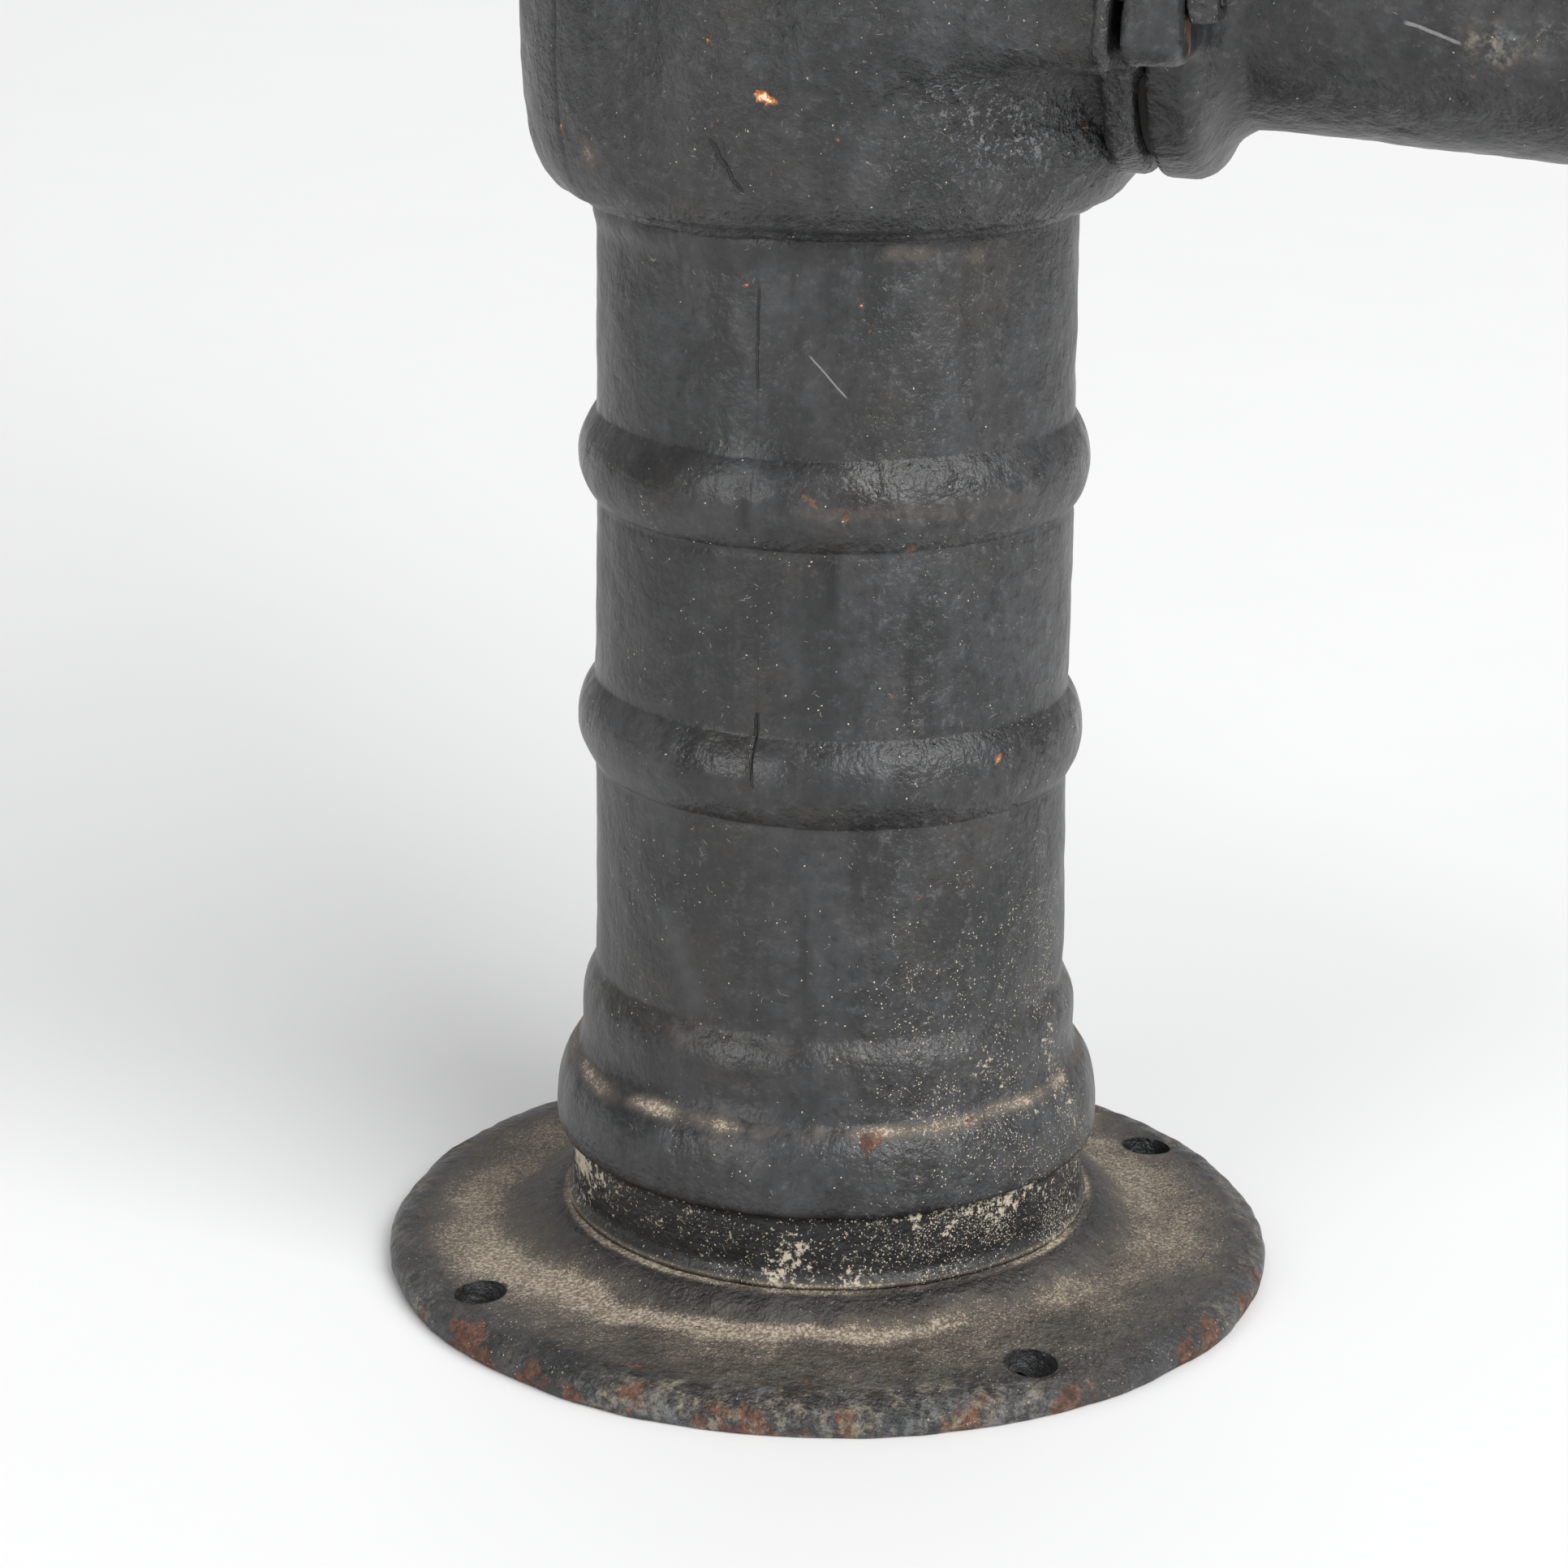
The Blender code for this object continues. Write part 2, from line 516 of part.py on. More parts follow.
def lever_rings(sides=SMALL):
    stations = lever_stations()
    rings = []
    for i, (centre, depth, width, power) in enumerate(stations):
        before = stations[max(i - 1, 0)][0]
        after = stations[min(i + 1, len(stations) - 1)][0]
        ahead = (after - before).normalized()
        up = Vector((-ahead.z, 0.0, ahead.x))
        ring = []
        for k in range(sides):
            c, s = math.cos(math.tau * k / sides), math.sin(math.tau * k / sides)
            y = width * math.copysign(abs(c) ** (2 / power), c)
            h = depth * math.copysign(abs(s) ** (2 / power), s)
            ring.append(centre + Vector((0.0, y, 0.0)) + up * h)
        rings.append(ring)
    return rings


def rod_slot(iron, parent):
    """The slot that lets the rod's pin move along the lever as it swings."""
    near, far = ROD_ARM, ROD_ARM / math.cos(SWING)
    half = PIN_RADIUS + SLOT_CLEARANCE
    outline = []
    for centre, start in ((far, -90.0), (near, 90.0)):
        for i in range(9):
            angle = math.radians(start + 180.0 * i / 8)
            outline.append((centre + half * math.cos(angle), half * math.sin(angle)))
    turn = Matrix.Rotation(-SWING, 4, "Y")
    return loft("rod_slot", plate_y(outline, -0.02, 0.02), iron, turn=turn, parent=parent)


def lever(iron, brass, steel):
    pivot = joint_empty("lever_pivot", FULCRUM)
    bar = loft("lever", lever_rings(), iron, parent=pivot)
    bush_radius = 0.0118
    eye = [(bush_radius + GAP, -0.02), (bush_radius + GAP, 0.02)]
    cut(bar, turned("lever_eye", eye, iron, SMALL, turn=ALONG_Y, parent=pivot))
    cut(bar, rod_slot(iron, pivot))
    bore = FULCRUM_PIN_RADIUS + GAP
    half = LEVER_HALF_WIDTH - GAP
    tube("lever_bush", bore, bush_radius, -half, half, brass, SMALL, turn=ALONG_Y, parent=pivot)
    head, washer_top = -ARM_OUTER - GAP, ARM_OUTER + 0.0024
    headed_pin("fulcrum_pin", FULCRUM_PIN_RADIUS, 0.014, head, 0.037, 0.0315, steel, at=FULCRUM)
    tube("fulcrum_washer", bore, 0.0150, ARM_OUTER + GAP, washer_top, steel, SMALL, turn=ALONG_Y, at=FULCRUM)
    cotter("fulcrum_cotter", 0.026, FULCRUM + Vector((0, 0.0315, 0)), steel)


# Pump rod and piston


def rod_clevis(iron, slide):
    """The fork on the rod's top: two ears, a bridge under them and a socket for the rod."""
    inner, outer = 0.0130, 0.0205
    ear = [(0.0150 * math.cos(math.radians(a)), 0.0150 * math.sin(math.radians(a))) for a in range(0, 181, 20)]
    ear += [(-0.0150, -0.036), (0.0150, -0.036)]
    at = Vector((0, 0, PIN_HEIGHT))
    fork = loft("rod_clevis", plate_y(ear, -outer, -inner), iron, at=at, parent=slide)
    join(fork, loft("clevis_far_ear", plate_y(ear, inner, outer), iron, at=at, parent=slide))
    bridge = [(-0.0149, -0.0359), (0.0149, -0.0359), (0.0149, -0.0275), (-0.0149, -0.0275)]
    join(fork, loft("clevis_bridge", plate_y(bridge, -0.020, 0.020), iron, at=at, parent=slide))
    socket = [(0.0145, -0.034), (0.0145, -0.044), (0.0135, -0.047)]
    join(fork, turned("clevis_socket", socket, iron, MEDIUM, at=at, parent=slide))
    bore = [(ROD_RADIUS + GAP, -0.050), (ROD_RADIUS + GAP, -0.032)]
    cut(fork, turned("clevis_bore", bore, iron, SMALL, at=at, parent=slide))
    holes = [(PIN_RADIUS + GAP, -0.03), (PIN_RADIUS + GAP, 0.03)]
    cut(fork, turned("clevis_holes", holes, iron, SMALL, turn=ALONG_Y, at=at, parent=slide))


def nut(name, half, bottom, height, bore, material, parent):
    rings = [polygon(half, bottom, 6, MEDIUM), polygon(half, bottom + height, 6, MEDIUM)]
    rings += [circle(bore, bottom + height, MEDIUM), circle(bore, bottom, MEDIUM)]
    loft(name, rings, material, hollow=True, parent=parent)


def pump_rod(iron, steel, brass, leather):
    slide = joint_empty("rod_slide", (0, 0, 0))
    crown_low, crown_top = PISTON_BOTTOM + 0.036, PISTON_BOTTOM + 0.044
    rod = [(ROD_RADIUS, crown_low), (ROD_RADIUS, PIN_HEIGHT - 0.0325)]
    turned("pump_rod", rod, steel, SMALL, parent=slide)
    rod_clevis(iron, slide)
    pin_at = Vector((0, 0, PIN_HEIGHT))
    pin = {"at": pin_at, "parent": slide}
    headed_pin("clevis_pin", PIN_RADIUS, 0.0120, -0.0208, 0.0310, 0.0262, steel, **pin)
    cotter("clevis_cotter", 0.024, pin_at + Vector((0, 0.0262, 0)), steel, slide)
    bore = ROD_RADIUS + GAP
    nut("clevis_locknut", 0.0110, PIN_HEIGHT - 0.0553, 0.008, bore, steel, slide)
    nut("piston_locknut", 0.0120, crown_top + GAP, 0.009, bore, brass, slide)
    piston(brass, leather, slide, crown_low, crown_top)


def piston(brass, leather, slide, crown_low, crown_top):
    z = PISTON_BOTTOM
    follower = [(0.0540, z + 0.008), (0.0540, z), (0.0220, z), (0.0220, z + 0.018)]
    follower += [(0.0355, z + 0.018), (0.0355, z + 0.008)]
    turned("piston_follower", follower, brass, MEDIUM, hollow=True, parent=slide)
    floor, base = z + 0.008 + GAP, z + 0.0115
    cup = [(0.0564, z + 0.026), (0.0564, floor), (0.0358, floor), (0.0358, base), (0.0530, base)]
    turned("cup_leather", cup + [(0.0540, z + 0.026)], leather, MEDIUM, hollow=True, parent=slide)
    foot = base + GAP
    cage = [(0.0460, crown_top - 0.002), (0.0460, foot), (0.0358, foot), (0.0358, crown_low)]
    cage += [(ROD_RADIUS + GAP, crown_low), (ROD_RADIUS + GAP, crown_top), (0.0440, crown_top)]
    body = turned("piston_cage", cage, brass, MEDIUM, hollow=True, parent=slide)
    for name, half_x, half_y in (("x", 0.06, 0.020), ("y", 0.020, 0.06)):
        window = [(-half_x, z + 0.0195), (half_x, z + 0.0195), (half_x, z + 0.034), (-half_x, z + 0.034)]
        cut(body, loft(f"cage_window_{name}", plate_y(window, -half_y, half_y), brass, parent=slide))


# Valves


def lift_valve(name, seat, port, disc, knob_top, brass, leather):
    """A disc on a leather washer, guided by three wings in the port below its seat."""
    lift = joint_empty(f"{name}_lift", (0, 0, seat))
    wings = [winged(0.006, port - 0.0008, -0.008), winged(0.006, port - 0.0008, -0.0005)]
    neck = [circle(0.0065, -GAP, MEDIUM), circle(0.0065, 0.0030 + 2 * GAP, MEDIUM)]
    plate = [circle(disc, 0.0030 + 2 * GAP, MEDIUM), circle(disc, 0.0075, MEDIUM)]
    knob = [circle(0.0065, 0.0085, MEDIUM), circle(0.0065, knob_top, MEDIUM)]
    loft(name, wings + neck + plate + knob, brass, parent=lift)
    tube(f"{name}_leather", 0.0068, disc + 0.001, GAP, 0.0030 + GAP, leather, MEDIUM, parent=lift)


def main():
    clear_scene()
    painted = finish("black painted iron", (0.045, 0.045, 0.047), 0.45, 0.0)
    rusty = finish("rusty steel", (0.16, 0.09, 0.05), 0.7, 0.6)
    brass = finish("brass", (0.55, 0.40, 0.17), 0.4, 1.0)
    leather = finish("leather", (0.10, 0.06, 0.035), 0.75, 0.0)
    hemp = finish("greased hemp", (0.20, 0.16, 0.10), 0.9, 0.0)
    base_flange(painted)
    column(painted)
    cylinder_parts(painted, brass)
    pump_body(painted)
    spout(painted)
    outlet_joint(rusty, leather)
    top_cap(painted)
    cap_parts(rusty, brass, leather, hemp)
    lever(painted, brass, rusty)
    pump_rod(painted, rusty, brass, leather)
    lift_valve("foot_valve", FLOOR_TOP + GAP + 0.008, 0.020, 0.026, 0.018, brass, leather)
    lift_valve("piston_valve", PISTON_BOTTOM + 0.018, 0.022, 0.028, 0.011, brass, leather)


main()
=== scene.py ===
"""Visible surfaces of a hand well pump: rough castings, brushed paint, fasteners, floor and light.

Metres, +Z up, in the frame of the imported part. Round castings are turned on a fine grid, and
branched ones are taken from a distance field, so that their webs and ears run into each other.
Angles round the pump's axis are in degrees from +X, the spout's side.
"""

import functools
import itertools
import json
import math

import bpy
import bmesh
import numpy as np
from mathutils import Matrix, Vector


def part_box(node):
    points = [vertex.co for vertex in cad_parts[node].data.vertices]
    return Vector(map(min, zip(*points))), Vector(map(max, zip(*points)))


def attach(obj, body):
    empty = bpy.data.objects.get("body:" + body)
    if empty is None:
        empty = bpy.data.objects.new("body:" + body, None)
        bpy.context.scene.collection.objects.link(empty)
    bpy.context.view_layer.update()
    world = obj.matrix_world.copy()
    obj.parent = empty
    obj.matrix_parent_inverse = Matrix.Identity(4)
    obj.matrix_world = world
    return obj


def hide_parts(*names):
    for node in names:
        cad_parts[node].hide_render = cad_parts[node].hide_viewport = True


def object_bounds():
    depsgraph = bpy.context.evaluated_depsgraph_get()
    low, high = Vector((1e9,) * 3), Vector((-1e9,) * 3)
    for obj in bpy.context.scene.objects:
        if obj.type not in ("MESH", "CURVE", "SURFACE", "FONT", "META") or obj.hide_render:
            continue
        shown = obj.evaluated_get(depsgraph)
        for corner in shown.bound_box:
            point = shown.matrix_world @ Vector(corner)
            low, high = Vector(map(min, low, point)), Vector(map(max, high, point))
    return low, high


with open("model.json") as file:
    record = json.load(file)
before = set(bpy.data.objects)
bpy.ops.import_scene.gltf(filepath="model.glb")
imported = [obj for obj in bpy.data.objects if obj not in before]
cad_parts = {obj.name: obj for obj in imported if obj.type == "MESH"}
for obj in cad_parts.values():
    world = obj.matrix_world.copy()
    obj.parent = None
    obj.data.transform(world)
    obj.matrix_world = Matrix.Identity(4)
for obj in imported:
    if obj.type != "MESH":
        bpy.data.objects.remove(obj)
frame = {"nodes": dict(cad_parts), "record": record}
cad_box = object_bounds()

# Driving sizes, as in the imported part

GAP = 0.0003
MARGIN = Vector((0.0035, 0.0035, 0.0035))
COLUMN_TOP = 0.372
COLUMN_MEAN_RADIUS = 0.0724
COLUMN_TAPER = 0.00436
BANDS = ((0.2754, 0.2478), (0.1915, 0.1640))
BAND_CREST = 0.0052
HUB_TOP = 0.021
SPIGOT_RADIUS = 0.0757
SPIGOT_SEAT = 0.006
SUCTION_RADIUS = 0.026
FLOOR_TOP = 0.024
CHAMBER_RADIUS = 0.058
LINER_SEAT = 0.104
LINER_RADIUS = 0.060
BASE_BORE = 0.058
BASE_HOLE_CIRCLE = 0.1225
BASE_HOLE_RADIUS = 0.008
BODY_RADIUS = 0.0938
BODY_BORE = 0.0838
BODY_LIP = 0.336
OUTLET_HEIGHT = 0.417
OUTLET_BORE = 0.040
OUTLET_FLANGE_RADIUS = 0.0658
EAR_REACH = 0.100
EAR_HALF_HEIGHT = 0.0214
STUD_OFFSET = 0.085
STUD_RADIUS = 0.005
SPOUT_RADIUS = 0.0515
SPOUT_MOUTH_RADIUS = 0.046
SPOUT_WALL = 0.009
SPOUT_FALL = math.radians(3.7)
SPOUT_MOUTH_TILT = math.radians(78.0)
SPOUT_BEND_RADIUS = 0.085
CAP_BOLT_CIRCLE = 0.1045
FULCRUM = Vector((-0.095, 0.0, 0.830))
ARM_INNER = 0.013
ARM_OUTER = 0.025
SWING = math.radians(22.0)
ROD_ARM = 0.095
LEVER_HALF_WIDTH = 0.012

high_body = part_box("pump_body")[1]
RIM_RADIUS = high_body.y
RIM_TOP = high_body.z
OUTLET_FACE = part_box("outlet_gasket")[0].x - GAP
SPOUT_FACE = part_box("spout")[0].x
CAP_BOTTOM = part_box("top_cap")[0].z
BOX_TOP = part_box("gland_nut")[1].z - 0.010
CAP_FLANGE_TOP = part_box("cap_bolt_1")[1].z - 0.007 - GAP
PIN_HEIGHT = (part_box("clevis_pin")[0].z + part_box("clevis_pin")[1].z) / 2

ALONG_X = Matrix.Rotation(math.radians(90.0), 4, "Y")
ALONG_Y = Matrix.Rotation(math.radians(-90.0), 4, "X")
QUARTER = Matrix.Rotation(math.radians(45.0), 4, "Z")
CASTING_CELL = 0.0016  # sampling step of the branched castings, fine enough for their smallest fillet


# Numbers over many points


def wave_noise(points, size, seed):
    """Smooth noise from -1 to 1, with bumps of about this size."""
    count = 32
    table = np.random.default_rng(seed).uniform(-1.0, 1.0, (count, count, count)).astype(np.float32)
    place = np.asarray(points, np.float32) / size + 64.0
    cell = np.floor(place).astype(np.int32)
    share = place - cell
    share = share * share * (3.0 - 2.0 * share)
    total = np.zeros(len(place), np.float32)
    for corner in itertools.product((0, 1), repeat=3):
        weight = np.prod(np.where(corner, share, 1.0 - share), axis=1)
        i, j, k = ((cell + corner) % count).T
        total += weight * table[i, j, k]
    return total


def rough_noise(points, size, seed, octaves=3):
    total = np.zeros(len(points), np.float32)
    for octave in range(octaves):
        total += wave_noise(points, size / 2**octave, seed + octave) * 0.55**octave
    return total


def bell(distance, width):
    return np.exp(-((distance / width) ** 2))


def ease(low, high, value):
    """0 below low and 1 above high, smooth between. Low may be the larger."""
    share = np.clip((value - low) / (high - low), 0.0, 1.0)
    return share * share * (3.0 - 2.0 * share)


def arc(angle, centre, radius):
    """Distance round a circle from one angle to others, in metres, with its sign."""
    return np.radians((angle - centre + 180.0) % 360.0 - 180.0) * radius


def round_places(points):
    """Angle in degrees, radius and height of each point about the pump's axis."""
    x, y, z = np.asarray(points).T
    return np.degrees(np.arctan2(y, x)), np.hypot(x, y), z


def on_wall(angle, radius, height):
    return (radius * math.cos(math.radians(angle)), radius * math.sin(math.radians(angle)), height)


def spots(points, places):
    """1 at the middle of each (centre, reach) place, falling to 0 at its reach."""
    best = np.zeros(len(points))
    for centre, reach in places:
        distance = np.linalg.norm(points - np.array(centre), axis=1)
        best = np.maximum(best, 1.0 - distance / reach)
    return best


# Meshes


def vertex_normals(points, faces):
    """Unit normals of the points, from the four-sided faces round them."""
    across = points[faces[:, 2]] - points[faces[:, 0]]
    along = points[faces[:, 3]] - points[faces[:, 1]]
    face_normals = np.cross(across, along)
    normals = np.zeros_like(points)
    for corner in range(4):
        for axis in range(3):
            normals[:, axis] += np.bincount(faces[:, corner], face_normals[:, axis], len(points))
    return normals / np.maximum(np.linalg.norm(normals, axis=1, keepdims=True), 1e-12)


def outward(points, faces):
    """The faces, turned round if they enclose a negative volume."""
    a, b, c, d = (points[faces[:, i]] for i in range(4))
    volume = np.einsum("ij,ij->i", a, np.cross(b, c) + np.cross(c, d)).sum()
    return faces if volume > 0 else faces[:, ::-1]


def add_piece(name, points, faces, material, body, node, slot, layers=None):
    """A quad mesh as a piece that rides on a body and stands for a node of the part."""
    mesh = bpy.data.meshes.new(name)
    faces = np.ascontiguousarray(faces, np.int32)
    mesh.vertices.add(len(points))
    mesh.vertices.foreach_set("co", np.ascontiguousarray(points, np.float32).ravel())
    mesh.loops.add(faces.size)
    mesh.loops.foreach_set("vertex_index", faces.ravel())
    mesh.polygons.add(len(faces))
    mesh.polygons.foreach_set("loop_start", np.arange(0, faces.size, 4, dtype=np.int32))
    mesh.update(calc_edges=True)
    mesh.shade_smooth()
    for layer, values in (layers or {}).items():
        attribute = mesh.attributes.new(layer, "FLOAT", "POINT")
        attribute.data.foreach_set("value", np.ascontiguousarray(values, np.float32))
    mesh.materials.append(material)
    piece = bpy.data.objects.new(name, mesh)
    bpy.context.scene.collection.objects.link(piece)
    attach(piece, body)
    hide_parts(node)
    return piece


def cut_away(piece, *tools):
    """Cuts closed tools out of a piece and applies the result."""
    for tool in tools:
        modifier = piece.modifiers.new("cut", "BOOLEAN")
        modifier.operation = "DIFFERENCE"
        modifier.object = tool
    graph = bpy.context.evaluated_depsgraph_get()
    mesh = bpy.data.meshes.new_from_object(piece.evaluated_get(graph))
    old = piece.data
    piece.modifiers.clear()
    piece.data = mesh
    bpy.data.meshes.remove(old)
    for tool in tools:
        bpy.data.objects.remove(tool)
    piece.data.shade_smooth()
    piece.data.set_sharp_from_angle(angle=math.radians(50.0))


# Turned surfaces


def spaced(outline, spacing):
    """Points about this far apart along an open outline, its corners kept."""
    points = []
    for (a, b), (c, d) in zip(outline, outline[1:]):
        steps = max(1, round(math.hypot(c - a, d - b) / spacing))
        points += [(a + (c - a) * i / steps, b + (d - b) * i / steps) for i in range(steps)]
    return points + [outline[-1]]


def softened(rows, passes):
    """An open outline with its corners eased and its ends kept."""
    rows = np.array(rows)
    for _ in range(passes):
        rows[1:-1] = (rows[:-2] + 2.0 * rows[1:-1] + rows[2:]) / 4.0
    return [tuple(row) for row in rows]


def turned_grid(rows, angles):
    """Points and faces of a closed outline turned about Z."""
    radii, heights = np.array(rows).T
    turn = np.radians(angles)
    grid = np.empty((len(radii), len(turn), 3))
    grid[..., 0] = radii[:, None] * np.cos(turn)
    grid[..., 1] = radii[:, None] * np.sin(turn)
    grid[..., 2] = heights[:, None]
    index = np.arange(grid[..., 0].size).reshape(len(radii), len(turn))
    below = np.roll(index, -1, axis=0)
    faces = np.stack([index, np.roll(index, -1, axis=1), np.roll(below, -1, axis=1), below], axis=-1)
    points = grid.reshape(-1, 3)
    return points, outward(points, faces.reshape(-1, 4))


def turned_tool(outline, sides=96, place=None):
    """A closed solid of revolution from its (radius, height) rings, for cutting."""
    work = bmesh.new()
    turns = [math.tau * i / sides for i in range(sides)]
    rings = [[work.verts.new((r * math.cos(t), r * math.sin(t), z)) for t in turns] for r, z in outline]
    for one, other in zip(rings, rings[1:]):
        for i in range(sides):
            j = (i + 1) % sides
            work.faces.new((one[i], one[j], other[j], other[i]))
    work.faces.new(rings[0])
    work.faces.new(rings[-1])
    bmesh.ops.recalc_face_normals(work, faces=work.faces)
    mesh = bpy.data.meshes.new("tool")
    work.to_mesh(mesh)
    work.free()
    tool = bpy.data.objects.new("tool", mesh)
    bpy.context.scene.collection.objects.link(tool)
    tool.matrix_world = place or Matrix()
    return tool


# Distance fields: negative inside, in metres


def lattice(low, high, cell):
    """Coordinates of a box of sample points, as three arrays that broadcast together."""
    axes = [np.arange(a, b + cell, cell, dtype=np.float32) for a, b in zip(low, high)]
    return np.meshgrid(*axes, indexing="ij", sparse=True)


def outline_field(a, b, outline):
    """Distance in a plane to a closed outline of (a, b) points."""
    best = np.float32(1.0)
    inside = np.zeros(np.broadcast(a, b).shape, bool)
    for (a0, b0), (a1, b1) in zip(outline, outline[1:] + outline[:1]):
        da, db = a1 - a0, b1 - b0
        along = np.clip(((a - a0) * da + (b - b0) * db) / (da * da + db * db), 0.0, 1.0)
        best = np.minimum(best, (a - a0 - along * da) ** 2 + (b - b0 - along * db) ** 2)
        if db:
            inside ^= ((b0 > b) != (b1 > b)) & (a < a0 + (b - b0) * da / db)
    return np.where(inside, -1.0, 1.0).astype(np.float32) * np.sqrt(best)


def turned_field(radial, axial, outline):
    """An outline of (radius, height) turned about an axis. The axial array varies along one axis only."""
    step = 0.0005
    axis = int(np.argmax(axial.shape))
    radii = np.arange(0.0, float(radial.max()) + 2.0 * step, step, dtype=np.float32)
    table = outline_field(radii[:, None], axial.reshape(1, -1), outline)
    place = np.squeeze(radial, axis=axis) / step
    cell = place.astype(np.int32)
    share = (place - cell)[..., None]
    return np.moveaxis(table[cell] * (1.0 - share) + table[cell + 1] * share, -1, axis)


def slab(flat, across, half):
    """A plane field extruded to this half thickness across its plane."""
    depth = np.abs(across) - half
    outside = np.sqrt(np.maximum(flat, 0.0) ** 2 + np.maximum(depth, 0.0) ** 2)
    return np.minimum(np.maximum(flat, depth), 0.0) + outside


def block_field(a, b, half_a, half_b, corner):
    """A rectangle with round corners."""
    da = np.abs(a) - half_a + corner
    db = np.abs(b) - half_b + corner
    outside = np.sqrt(np.maximum(da, 0.0) ** 2 + np.maximum(db, 0.0) ** 2)
    return np.minimum(np.maximum(da, db), 0.0) + outside - corner


def path_field(a, b, path):
    """Distance in a plane to a path of (a, b, value) points, and the value at the nearest point."""
    best = np.full(np.broadcast(a, b).shape, 1.0, np.float32)
    values = [np.zeros_like(best) for _ in path[0][2:]]
    for one, other in zip(path, path[1:]):
        da, db = other[0] - one[0], other[1] - one[1]
        along = np.clip(((a - one[0]) * da + (b - one[1]) * db) / (da * da + db * db), 0.0, 1.0)
        distance = np.hypot(a - one[0] - along * da, b - one[1] - along * db)
        nearer = distance < best
        best = np.where(nearer, distance, best)
        for value, low, high in zip(values, one[2:], other[2:]):
            value[nearer] = (low + (high - low) * along)[nearer]
    return best, values


def joined(a, b, blend=0.0):
    """Both shapes, with a fillet of about this size between them."""
    if not blend:
        return np.minimum(a, b)
    share = np.clip(0.5 + 0.5 * (b - a) / blend, 0.0, 1.0)
    return b + (a - b) * share - blend * share * (1.0 - share)


def carved(a, b, blend=0.0):
    """The first shape without the second, its new edge eased."""
    return -joined(-a, b, blend)


def surface_of(field, low, cell):
    """Points and outward quads of a sampled field's zero level."""
    inside = field < 0.0
    shape = tuple(n - 1 for n in field.shape)
    corners = np.zeros(shape, np.int8)
    for offset in itertools.product((0, 1), repeat=3):
        corners += inside[tuple(slice(o, o + n) for o, n in zip(offset, shape))]
    mixed = (corners > 0) & (corners < 8)
    cells = np.argwhere(mixed)
    numbers = np.full(shape, -1, np.int32)
    numbers[mixed] = np.arange(len(cells))
    total = np.zeros((len(cells), 3))
    hits = np.zeros(len(cells))
    for axis in range(3):
        ahead = np.eye(3, dtype=int)[axis]
        others = [i for i in range(3) if i != axis]
        for pair in itertools.product((0, 1), repeat=2):
            offset = np.zeros(3, int)
            offset[others] = pair
            start = tuple((cells + offset).T)
            end = tuple((cells + offset + ahead).T)
            first, second = field[start], field[end]
            crossed = (first < 0.0) != (second < 0.0)
            share = first[crossed] / (first[crossed] - second[crossed])
            total[crossed] += offset + share[:, None] * ahead
            hits[crossed] += 1
    points = np.array(low) + cell * (cells + total / hits[:, None])
    faces = []
    for axis in range(3):
        second, third = (axis + 1) % 3, (axis + 2) % 3
        one = np.moveaxis(inside, axis, 0)[:-1]
        two = np.moveaxis(inside, axis, 0)[1:]
        edges = np.moveaxis(one != two, 0, axis)
        place = np.argwhere(edges)
        keep = (place[:, second] > 0) & (place[:, third] > 0)
        keep &= (place[:, second] < field.shape[second] - 1) & (place[:, third] < field.shape[third] - 1)
        place = place[keep]
        ring = []
        for back_second, back_third in ((1, 1), (0, 1), (0, 0), (1, 0)):
            cell_place = place.copy()
            cell_place[:, second] -= back_second
            cell_place[:, third] -= back_third
            ring.append(numbers[tuple(cell_place.T)])
        quads = np.stack(ring, axis=1)
        leaving = inside[tuple(place.T)]
        faces.append(np.where(leaving[:, None], quads, quads[:, ::-1]))
    return points, np.concatenate(faces)


# Node materials


